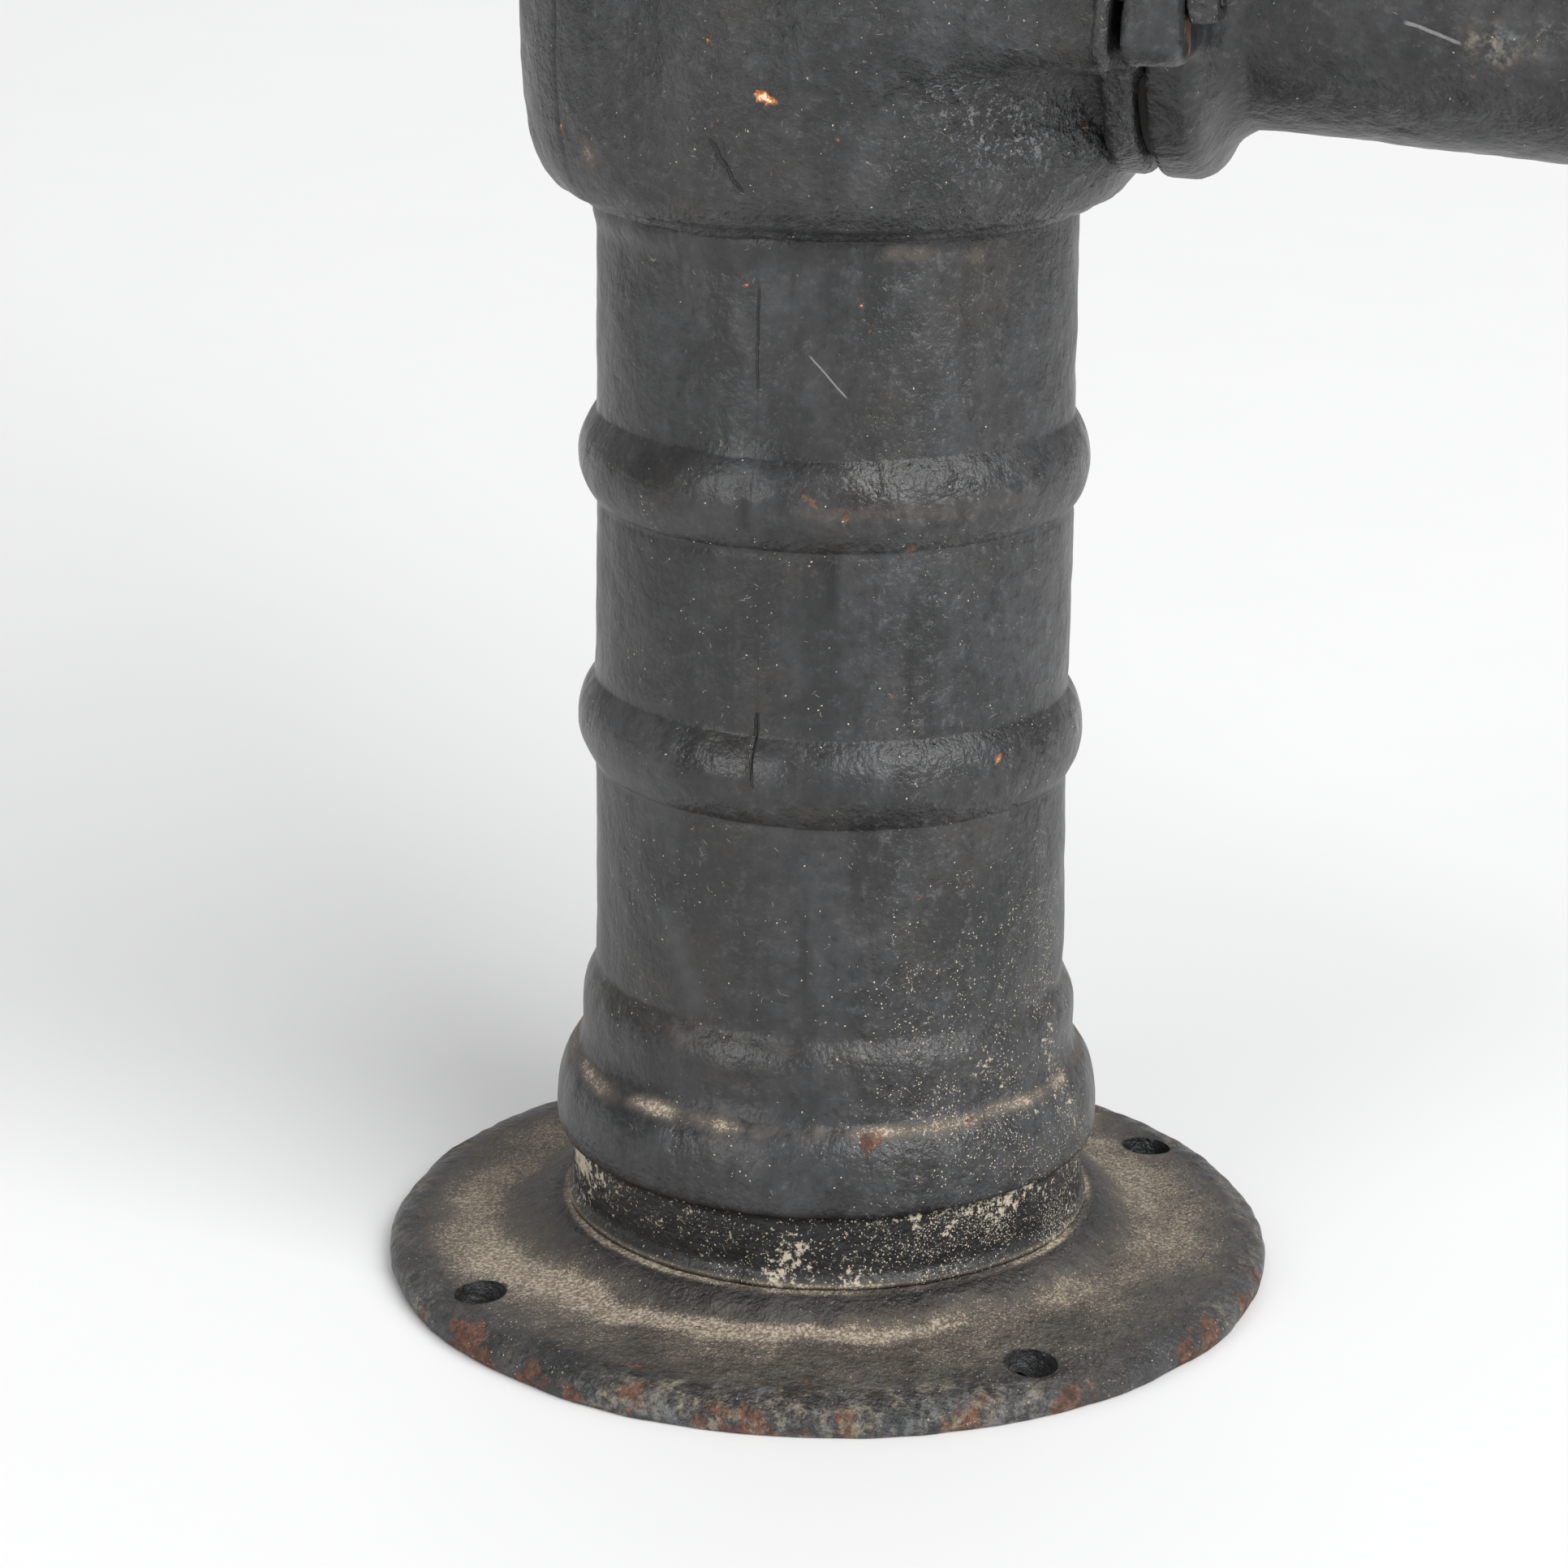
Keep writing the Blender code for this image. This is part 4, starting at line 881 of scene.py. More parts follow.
def column(paint):
    """The column with its two bands, collar and foot, hollow as the part is."""
    outer, inner = column_outline()
    angles = list(np.arange(330) * 360.0 / 330.0)
    for seam in SEAMS:
        angles += [seam % 360.0 + step for step in (-0.65, -0.38, -0.14, 0.14, 0.38, 0.65)]
    angles = sorted(angles)
    points, faces = turned_grid(outer + inner, angles)
    skin = np.arange(len(points)) < len(outer) * len(angles)
    skin &= points[:, 2] < COLUMN_TOP - 0.001
    angle, _, z = round_places(points)
    lean = np.cos(np.radians(angle - 15.0))

    # The bands and the collar's top sit a little askew, lower towards the spout
    points[:, 2] -= np.where(skin, 0.00135 * lean * bell(z - 0.1765, 0.030), 0.0)
    points[:, 2] -= np.where(skin, 0.0012 * lean * bell(z - 0.0945, 0.012), 0.0)
    low_lean = bell(z - 0.060, 0.045) * ease(0.040, 0.052, z)
    move = -0.0006 * lean * (bell(z - 0.2607, 0.018) + bell(z - 0.1765, 0.020) + low_lean)
    # Casting roughness, coarser on the side towards the spout
    move += 0.00040 * rough_noise(points, 0.050, 11) + 0.00020 * rough_noise(points, 0.012, 12)
    pebbly = ease(-85.0, -55.0, angle) * ease(20.0, -10.0, angle)
    move += 0.00010 * wave_noise(points, 0.005, 13) * (0.4 + pebbly)
    # A seam is a wandering groove with one side a step higher, cut deeper across the lower band
    for seam in SEAMS:
        aside = arc(angle, seam, 0.0724)
        depth = 0.00012 + 0.00015 * np.clip(rough_noise(points, 0.03, 14), -0.5, 1.0)
        depth = np.where((z > 0.177) & (z < 0.199), 0.00060, depth)
        drift = 0.0006 * wave_noise(np.column_stack([z * 0, z * 0, z]), 0.03, 15)
        move -= depth * bell(aside + drift, 0.00055)
        move += 0.00022 * (ease(-0.0008, 0.0008, aside + drift) - 0.5) * bell(aside, 0.02)
    for a, height, reach, depth in COLUMN_PITS:
        distance = np.hypot(arc(angle, a, 0.0745), z - height)
        move -= depth * bell(distance, reach)
    # Creases where a band's lower edge meets the wall, filled with paint in places
    for height, tilt in ((0.2474, 0.0), (0.1637, 0.00135)):
        line = height - tilt * lean + 0.0006 * wave_noise(points, 0.03, 9)
        share = 0.6 + 0.5 * wave_noise(points, 0.02, 16)
        move -= 0.00065 * share * bell(z - line, 0.0012)
    move -= 0.0005 * bell(z - (0.0985 - 0.0012 * lean), 0.0016) * (0.6 + 0.4 * wave_noise(points, 0.02, 17))
    move -= 0.0011 * bell(z - 0.0725, 0.0014) * (0.5 + 0.6 * wave_noise(points, 0.015, 18))
    # Thick paint under the body's lip, the crack in the collar, a blob and runs of paint
    left = ease(-76.0, -86.0, angle) * ease(-175.0, -150.0, angle)
    move += 0.0020 * left * ease(0.3290, 0.3370, z) * ease(0.3430, 0.3395, z)
    crack = stripe(angle, z, -94.5, 0.0007, 0.0670, 0.0490, 0.084, 0.001)
    move -= 0.0008 * crack
    blob = bell(arc(angle, -96.0, 0.074), 0.0130) * bell(z - 0.2750, 0.0040)
    move += 0.0009 * blob
    for a, top, bottom in ((-113.7, 0.338, 0.3215), (-85.1, 0.3306, 0.3225), (-75.7, 0.2451, 0.2312)):
        move += 0.0006 * stripe(angle, z, a, 0.0014, top, bottom, 0.0724, 0.001)
    turn = np.radians(angle)
    move = np.where(skin, move, 0.0)
    points[:, 0] += move * np.cos(turn)
    points[:, 1] += move * np.sin(turn)

    normals = vertex_normals(points, faces)
    layers = grime(points, normals, 20, dust=0.30)
    # Dust on the collar's shoulder and where the foot meets the flange
    dusty_edge = bell(z - 0.0708 + 0.0015 * wave_noise(points, 0.02, 19), 0.0026)
    dusty_edge *= 0.70 + 0.80 * rough_noise(points, 0.012, 21)
    crevice = bell(z - 0.0222, 0.0012)
    layers["dust"] += 0.66 * dusty_edge + 0.8 * crevice + 0.20 * bell(z - 0.0950, 0.004)
    layers["rust"] += 0.30 * dusty_edge * ease(-80.0, -60.0, angle)
    layers["dust"] += 0.35 * bell(z - 0.2610, 0.0045) * ease(-88.0, -78.0, angle) * ease(0.0, -20.0, angle)
    for seam in SEAMS:
        layers["dust"] -= 0.3 * bell(arc(angle, seam, 0.0724), 0.002)
    # Lint and cream flakes low on the side towards the spout and on the bare foot
    right_low = ease(0.165, 0.105, z) * ease(-78.0, -48.0, angle) * ease(10.0, -10.0, angle)
    foot = ease(0.0455, 0.0440, z)
    layers["lint"] = 0.14 + 0.70 * right_low + 0.62 * foot + 0.12 * rough_noise(points, 0.06, 22)
    sides = bell(arc(angle, -146.0, 1.0), 0.45) + bell(arc(angle, -32.0, 1.0), 0.50)
    layers["flaked"] = foot * (0.515 + 0.16 * sides * ease(0.028, 0.042, z))
    layers["flaked"] += 0.50 * right_low * ease(0.125, 0.090, z) * (1.0 - foot)
    # A darker foot band and crack, dark runs of paint, and painted shade over the pit cluster at -94.8
    layers["black"] = 0.85 * foot + 0.8 * crack
    for a, top, bottom, reach, share in COLUMN_STREAKS:
        layers["black"] += share * stripe(angle, z, a, reach, top, bottom)
    layers["black"] = np.clip(layers["black"], 0.0, 1.0)
    # Paler paint in patches low down, and a painted highlight on the lower band's crest at -88.4
    patches = [(on_wall(-117.4 + 2.2 * i, 0.0728, 0.1300 - 0.0057 * i), 0.0070) for i in range(5)]
    layers["pale"] = 0.75 * spots(points, patches + [(on_wall(-88.4, 0.0768, 0.1832), 0.0065)])
    layers["smooth"] = 0.80 - 0.70 * pebbly
    crests = bell(z - 0.2640, 0.0060) + bell(z - 0.1800, 0.0060) + 0.6 * bell(z - 0.0930, 0.004)
    # Painted glints on the pebbly side
    layers["painted_glint_share"] = 0.16 * pebbly
    layers["glossy"] = 0.7 * crests + 0.4 * bell(z - 0.0650, 0.006)
    layers["chip"] = 0.66 * spots(points, [(on_wall(a, column_radius(h), h), 0.0023) for a, h in COLUMN_DOTS])
    chips = [(on_wall(-33.4 - 0.9 * i, 0.0765, 0.1836 - 0.0009 * i), 0.0022) for i in range(4)]
    layers["chip"] = np.maximum(layers["chip"], 0.66 * spots(points, chips))
    # Old putty under the body's lip, and rust on the bands
    beige = bell(z - np.interp(angle, (-64.0, -36.0), (0.3360, 0.3325)), 0.0035)
    beige *= ease(-72.0, -60.0, angle) * ease(-30.0, -40.0, angle)
    layers["dust"] += 0.55 * beige * (0.6 + 0.8 * rough_noise(points, 0.012, 24))
    layers["flaked"] += 0.30 * beige
    rusty = [(on_wall(-81.4 + 1.6 * i, 0.0768, 0.2656 - 0.0012 * i), 0.0050) for i in range(6)]
    rusty += [(on_wall(-57.0, 0.0740, 0.2483), 0.0050), (on_wall(-65.5, 0.0822, 0.0680), 0.0060)]
    layers["rust"] += 0.62 * spots(points, rusty)
    return add_piece("column_casting", points, faces, paint, "stand", "column", "column_paint", layers)


# The dust ring on the flange: angle, radius of its middle, half width and strength
FLANGE_DUST = (
    (-200, 0.106, 0.012, 0.35), (-147, 0.111, 0.0110, 0.50), (-126, 0.101, 0.0065, 0.90),
    (-113, 0.102, 0.0042, 0.9), (-92, 0.098, 0.0030, 0.9), (-73, 0.096, 0.0026, 0.85),
    (-56, 0.097, 0.0030, 0.65), (-36, 0.091, 0.0050, 0.22), (-7, 0.104, 0.009, 0.12),
    (40, 0.105, 0.012, 0.3), (160, 0.106, 0.012, 0.35),
)
# Rust along the flange's rim: angle, radius, height and reach
FLANGE_RUST = (
    (-138, 0.139, 0.004, 0.008), (-126, 0.138, 0.004, 0.014), (-114, 0.139, 0.005, 0.007),
    (-107.6, 0.139, 0.004, 0.006), (-99, 0.136, 0.008, 0.007), (-102, 0.128, 0.0095, 0.006),
    (-93, 0.125, 0.0102, 0.006), (-88, 0.1395, 0.004, 0.010), (-84, 0.1395, 0.004, 0.010),
    (-78, 0.123, 0.0104, 0.006), (-72, 0.137, 0.007, 0.006), (-58, 0.139, 0.004, 0.008),
    (-54.7, 0.134, 0.009, 0.006), (-43, 0.139, 0.005, 0.008), (-23.5, 0.139, 0.004, 0.007),
    (-18, 0.139, 0.005, 0.009), (-6, 0.139, 0.004, 0.008), (1, 0.139, 0.005, 0.008),
    (40, 0.138, 0.005, 0.012), (95, 0.138, 0.005, 0.010), (170, 0.134, 0.008, 0.012),
)


def base_flange(paint):
    """The dished round flange with its four empty holes, hollow underneath."""
    top = [(SPIGOT_RADIUS + GAP, HUB_TOP), (0.0835, HUB_TOP), (0.0875, 0.0195), (0.092, 0.016)]
    top += [(0.096, 0.013), (0.101, 0.0118), (0.112, 0.0112), (0.124, 0.0104)]
    rim = [(0.132, 0.0096), (0.137, 0.0078), (0.1394, 0.0048), (0.1399, 0.0022), (0.1388, 0.0002)]
    outer = softened(spaced(top + rim, 0.0013), 3)
    inner = [(0.116, 0.0), (0.114, 0.004), (0.066, 0.004), (0.064, 0.0), (BASE_BORE, 0.0)]
    inner += [(BASE_BORE, SPIGOT_SEAT), (SPIGOT_RADIUS + GAP, SPIGOT_SEAT)]
    angles = np.arange(560) * 360.0 / 560.0
    points, faces = turned_grid(outer + inner, angles)
    skin = np.arange(len(points)) < len(outer) * len(angles)
    angle, radius, z = round_places(points)
    centres = [
        BASE_HOLE_CIRCLE * np.array([math.cos(a), math.sin(a)])
        for a in np.radians([45, 135, 225, 315])
    ]
    # The top sinks a little round the holes, in one dent and along the hub
    hole = np.min([np.hypot(*(points[:, :2] - centre).T) for centre in centres], axis=0)
    sink = 0.0009 * ease(0.0115, 0.0080, hole)
    sink += 0.0010 * bell(np.hypot(arc(angle, 178.8, 0.1046), radius - 0.1046), 0.0030)
    sink += 0.0005 * bell(radius - 0.0845, 0.0014)
    rough = rough_noise(points, 0.012, 31)
    lift = 0.00030 * rough_noise(points, 0.045, 30) + 0.00022 * rough
    lift += 0.00034 * wave_noise(points, 0.0045, 32) * ease(0.122, 0.134, radius)
    worn = ease(-110.0, -80.0, angle) * ease(-45.0, -60.0, angle) * ease(0.120, 0.130, radius)
    lift += 0.00030 * wave_noise(points, 0.006, 33) * worn
    points[:, 2] += np.where(skin & (z > 0.0012), (lift - sink) * ease(0.001, 0.004, z), 0.0)
    # The rim is not quite round
    swell = 0.00055 * rough_noise(points, 0.030, 34) + 0.00030 * wave_noise(points, 0.007, 35)
    swell = np.where(skin, np.minimum(swell, 0.0004) * ease(0.128, 0.138, radius), 0.0)
    points[:, :2] *= (1.0 + swell / np.maximum(radius, 0.01))[:, None]

    normals = vertex_normals(points, faces)
    layers = grime(points, normals, 36, dust=0.50)
    turns, *columns = zip(*FLANGE_DUST)
    ring, width, strength = (np.interp(angle, turns, column) for column in columns)
    dusty = strength * bell(radius - ring + 0.0035 * rough_noise(points, 0.02, 37), width)
    layers["dust"] += 0.80 * dusty * (0.85 + 0.55 * rough_noise(points, 0.018, 38)) * ease(
        0.085, 0.092, radius
    )
    layers["dust"] += 0.75 * bell(radius - 0.0828, 0.0011) * (0.8 + 0.5 * rough_noise(points, 0.02, 39))
    layers["dust"] += 0.17 * bell(radius - ring - 0.006, 0.014) - 0.22 * ease(0.093, 0.087, radius)
    layers["dust"] -= 0.25 * ease(0.124, 0.132, radius)
    # Grey crust round the rim, which over the front also paints a silvery sheen
    layers["crust_and_sheen"] = 0.70 * worn + 0.50 * ease(0.126, 0.134, radius) * (
        0.7 + 0.8 * rough_noise(points, 0.03, 40)
    )
    layers["glossy"] = 0.8 * ease(0.124, 0.134, radius)
    # Painted shade: darker in the corner at the hub and round the holes' rims
    layers["black"] = 0.35 * ease(0.093, 0.087, radius) + 0.3 * ease(0.011, 0.0085, hole)
    places = [(on_wall(a, r, h), 1.4 * reach) for a, r, h, reach in FLANGE_RUST]
    layers["rust"] += 0.48 * spots(points, places) + 0.17 * ease(0.130, 0.138, radius)
    layers["rust"] += 0.15 * ease(0.0040, 0.0015, z) * ease(0.132, 0.138, radius)
    layers["lint"] = 0.30 + 0.25 * rough_noise(points, 0.05, 41)
    piece = add_piece(
        "base_flange_casting", points, faces, paint, "stand", "base_flange", "base_paint", layers
    )
    tool = [(BASE_HOLE_RADIUS, 0.03), (BASE_HOLE_RADIUS, -0.01)]
    cut_away(piece, *(turned_tool(tool, 64, Matrix.Translation((x, y, 0.0))) for x, y in centres))
    return piece


def leaning(x, level):
    """X in the outlet's own frame, where the joint stands square to the falling spout."""
    return x - level * math.tan(SPOUT_FALL)


def leaning_field(x, y, level, outline):
    """An outline turned about the outlet's axis, sheared to stand square to the falling spout."""
    layers = [turned_field(np.hypot(y, v), leaning(x, v), outline) for v in level.ravel()]
    return np.concatenate(layers, axis=2)


def body_fields(x, y, z):
    """The pump body's outer shape: barrel, rim, bowl, outlet neck and its ears and bosses."""
    rim = [
        (0.0, RIM_TOP), (RIM_RADIUS - 0.0012, RIM_TOP), (RIM_RADIUS, RIM_TOP - 0.0012), (RIM_RADIUS, 0.627)
    ]
    rim += [(0.1145, 0.6235), (0.111, 0.6212), (0.100, 0.6155), (0.0955, 0.611), (BODY_RADIUS, 0.603)]
    bead = []
    for i in range(13):
        turn = math.pi * i / 12
        bead.append((BODY_RADIUS + 0.004 * math.sin(turn), 0.583 + 0.009 * math.cos(turn)))
    bowl = [(BODY_RADIUS, 0.380), (0.0929, 0.369), (0.0914, 0.3585), (0.0898, 0.3530), (0.0879, 0.3489)]
    bowl += [(0.0841, 0.3440), (0.0797, 0.3400), (0.0777, 0.3372), (0.0762, BODY_LIP), (0.0, BODY_LIP)]
    barrel = turned_field(np.hypot(x, y), z, rim + bead + bowl)
    level = z - OUTLET_HEIGHT
    end = OUTLET_FACE
    neck = [(0.0, 0.050), (0.0575, 0.050), (0.0580, 0.084), (0.0585, end - 0.002), (0.0, end - 0.002)]
    disc = [
        (0.0, 0.0912), (0.0640, 0.0912), (0.0655, 0.0930), (0.0655, end - 0.001), (0.0645, end), (0.0, end)
    ]
    across = leaning(x, level)
    neck, disc = (leaning_field(x, y, level, outline) for outline in (neck, disc))
    plate = block_field(y, level, EAR_REACH, EAR_HALF_HEIGHT, 0.010)
    plate = slab(plate, across - (OUTLET_FACE - 0.00205), 0.00205)
    boss = block_field(y, level + 0.0025, EAR_REACH - 0.007, EAR_HALF_HEIGHT + 0.0005, 0.011)
    boss = slab(boss, x - (0.020 + OUTLET_FACE - 0.003) / 2, (OUTLET_FACE - 0.023) / 2)
    shape = joined(barrel, neck, 0.005)
    shape = joined(shape, boss, 0.022)
    return joined(joined(shape, disc, 0.0015), plate, 0.0025)


# Chips on the body: angle, height and reach
BODY_DOTS = (
    (-134.5, 0.3661, 0.0022), (-133.4, 0.361, 0.0020), (-114.6, 0.3521, 0.0020), (-73.8, 0.3927, 0.0022),
    (-61.4, 0.3947, 0.0020), (-97.9, 0.3969, 0.0022), (-96.0, 0.3754, 0.0020), (-74.8, 0.3712, 0.0022),
    (-40.8, 0.3588, 0.0024), (-27.2, 0.3702, 0.0022), (-25.3, 0.3459, 0.0022), (-88.6, 0.3826, 0.0036),
    (-87.2, 0.3821, 0.0036), (-86.0, 0.3818, 0.0030), (-120.0, 0.4700, 0.0024), (-60.0, 0.5300, 0.0028),
    (100.0, 0.4500, 0.0030), (170.0, 0.3900, 0.0026), (60.0, 0.5600, 0.0026),
)


def pump_body(paint):
    """The upper casting with its outlet, bored and drilled as the part is."""
    cell = CASTING_CELL
    low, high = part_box("pump_body")
    low, high = low - MARGIN, high + MARGIN
    x, y, z = lattice(low, high, cell)
    points, faces = surface_of(body_fields(x, y, z), low, cell)
    flat = ease(RIM_TOP - 0.0004, RIM_TOP - 0.003, points[:, 2])
    flat = flat * ease(
        OUTLET_FACE - 0.0002, OUTLET_FACE - 0.0016, leaning(points[:, 0], points[:, 2] - OUTLET_HEIGHT)
    )
    points, normals = roughened(points, faces, 50, 0.00045, 0.00028, flat)
    angle, radius, z = round_places(points)
    pebbly = ease(-75.0, -50.0, angle) * ease(10.0, -15.0, angle) * ease(0.42, 0.38, z)
    move = 0.00013 * wave_noise(points, 0.005, 53) * (0.4 + pebbly)
    for seam in (-134.7, 45.3):
        move -= 0.00055 * bell(arc(angle, seam, 0.092), 0.0010) * (0.6 + 0.4 * wave_noise(points, 0.02, 54))
    # A leaning crack, a scar and a bead of putty low on the bowl
    along = (z - 0.3547) / (0.3697 - 0.3547)
    crack = bell(
        arc(angle, -92.6 - 4.9 * along, 0.0900), 0.0013
    ) * ease(-0.1, 0.1, along) * ease(1.1, 0.9, along)
    scar = bell(z - np.interp(angle, (-118.5, -108.2), (0.3552, 0.3507)), 0.0016)
    scar *= ease(-120.0, -117.0, angle) * ease(-106.5, -109.0, angle)
    move -= 0.0008 * crack + 0.0007 * scar
    putty = bell(z - 0.3385, 0.0030) * ease(-146.0, -136.0, angle) * ease(-78.0, -86.0, angle)
    move += 0.0008 * putty * (0.6 + 0.5 * rough_noise(points, 0.01, 55))
    points = points + normals * (move * flat)[:, None]
    # The lip's lower edge is uneven
    lip = ease(0.345, 0.338, z) * ease(0.090, 0.080, radius)
    points[:, 2] += lip * (
        0.0030 + 0.0007 * rough_noise(points, 0.02, 56) + 0.0006 * ease(-120.0, -140.0, angle)
    )
    points[:, 2] = np.maximum(points[:, 2], BODY_LIP)

    layers = grime(points, normals, 57, dust=0.45, lint=0.14)
    layers["smooth"] = 0.35 - 0.35 * pebbly
    layers["black"] = 0.6 * crack
    # A shinier patch of pebbles below the outlet, with painted glints on it and fainter ones over the pebbly
    # side
    shiny = [(on_wall(-57.0 + 5.0 * i, 0.0925, 0.3860 - 0.0060 * i), 0.0140) for i in range(4)]
    layers["glossy"] = 0.9 * spots(points, shiny) + 0.30 * pebbly
    layers["painted_glint_share"] = 0.85 * spots(points, shiny) + 0.28 * pebbly
    layers["smooth"] -= 0.5 * layers["glossy"]
    layers["chip"] = spots(
        points, [(on_wall(a, 0.0925 if h > 0.36 else 0.0900, h), r) for a, h, r in BODY_DOTS]
    )
    dusty = [(on_wall(-126.1, 0.0918, 0.3604), 0.007)]
    layers["dust"] += 0.9 * spots(points, dusty)
    layers["rust"] += 0.16 * ease(0.350, 0.342, z) * (0.5 + 0.7 * rough_noise(points, 0.02, 58))
    piece = add_piece("pump_body_casting", points, faces, paint, "stand", "pump_body", "body_paint", layers)

    socket = column_radius(BODY_LIP) + GAP
    inside = [(BODY_BORE, RIM_TOP + 0.005), (BODY_BORE, 0.408), (0.070, 0.392), (0.062, 0.384)]
    inside += [(0.062, COLUMN_TOP + 0.002), (socket, COLUMN_TOP + 0.002), (socket, 0.3415)]
    inside += [(0.0750, 0.3405), (0.0750, BODY_LIP - 0.005)]
    level = Matrix.Translation((0.0, 0.0, OUTLET_HEIGHT)) @ ALONG_X
    tools = [turned_tool(inside, 128), turned_tool([(OUTLET_BORE, 0.060), (OUTLET_BORE, 0.11)], 96, level)]
    for side in (-1, 1):
        place = Matrix.Translation((0.0, side * STUD_OFFSET, OUTLET_HEIGHT)) @ ALONG_X
        tools.append(turned_tool([(STUD_RADIUS + GAP, 0.0697), (STUD_RADIUS + GAP, 0.11)], 32, place))
    for at in cap_bolt_places():
        hole = [(STUD_RADIUS + GAP, RIM_TOP - 0.014), (STUD_RADIUS + GAP, RIM_TOP + 0.01)]
        tools.append(turned_tool(hole, 32, Matrix.Translation(at)))
    cut_away(piece, *tools)
    return piece


def cap_bolt_places():
    angles = [math.radians(45.0 + 90.0 * i) for i in range(4)]
    return [CAP_BOLT_CIRCLE * Vector((math.cos(a), math.sin(a), 0.0)) for a in angles]


def spout_path():
    """(x, z, pipe radius) along the spout's centre line."""
    start = Vector((0.136, 0.0, OUTLET_HEIGHT))
    ahead = Vector((math.cos(SPOUT_FALL), 0.0, -math.sin(SPOUT_FALL)))
    bend_start = start + ahead * 0.126
    centre = bend_start - SPOUT_BEND_RADIUS * Vector((math.sin(SPOUT_FALL), 0.0, math.cos(SPOUT_FALL)))
    path = [start - ahead * 0.030, start, start + ahead * 0.063]
    for i in range(19):
        tilt = SPOUT_FALL + (SPOUT_MOUTH_TILT - SPOUT_FALL) * i / 18
        path.append(centre + SPOUT_BEND_RADIUS * Vector((math.sin(tilt), 0.0, math.cos(tilt))))
    drop = Vector((math.cos(SPOUT_MOUTH_TILT), 0.0, -math.sin(SPOUT_MOUTH_TILT)))
    path.append(path[-1] + drop * 0.030)
    lengths = np.cumsum([0.0] + [(b - a).length for a, b in zip(path, path[1:])])
    straight = (path[2] - path[0]).length + 0.040
    share = np.clip((lengths - straight) / (lengths[-1] - straight), 0.0, None)
    radii = SPOUT_RADIUS + (SPOUT_MOUTH_RADIUS - SPOUT_RADIUS) * share
    return path, radii, drop


# Gouges and chips on the spout: place and reach
SPOUT_GOUGES = (((0.1949, -0.0501, 0.4011), 0.0062), ((0.2112, -0.0505, 0.4019), 0.0058))
SPOUT_DOTS = (
    ((0.1352, -0.0494, 0.4025), 0.0020), ((0.1906, -0.0464, 0.3911), 0.0020),
    ((0.118, -0.0379, 0.3832), 0.0022), ((0.170, 0.044, 0.436), 0.0024),
    ((0.290, -0.034, 0.420), 0.0024), ((0.320, -0.030, 0.400), 0.0022),
)


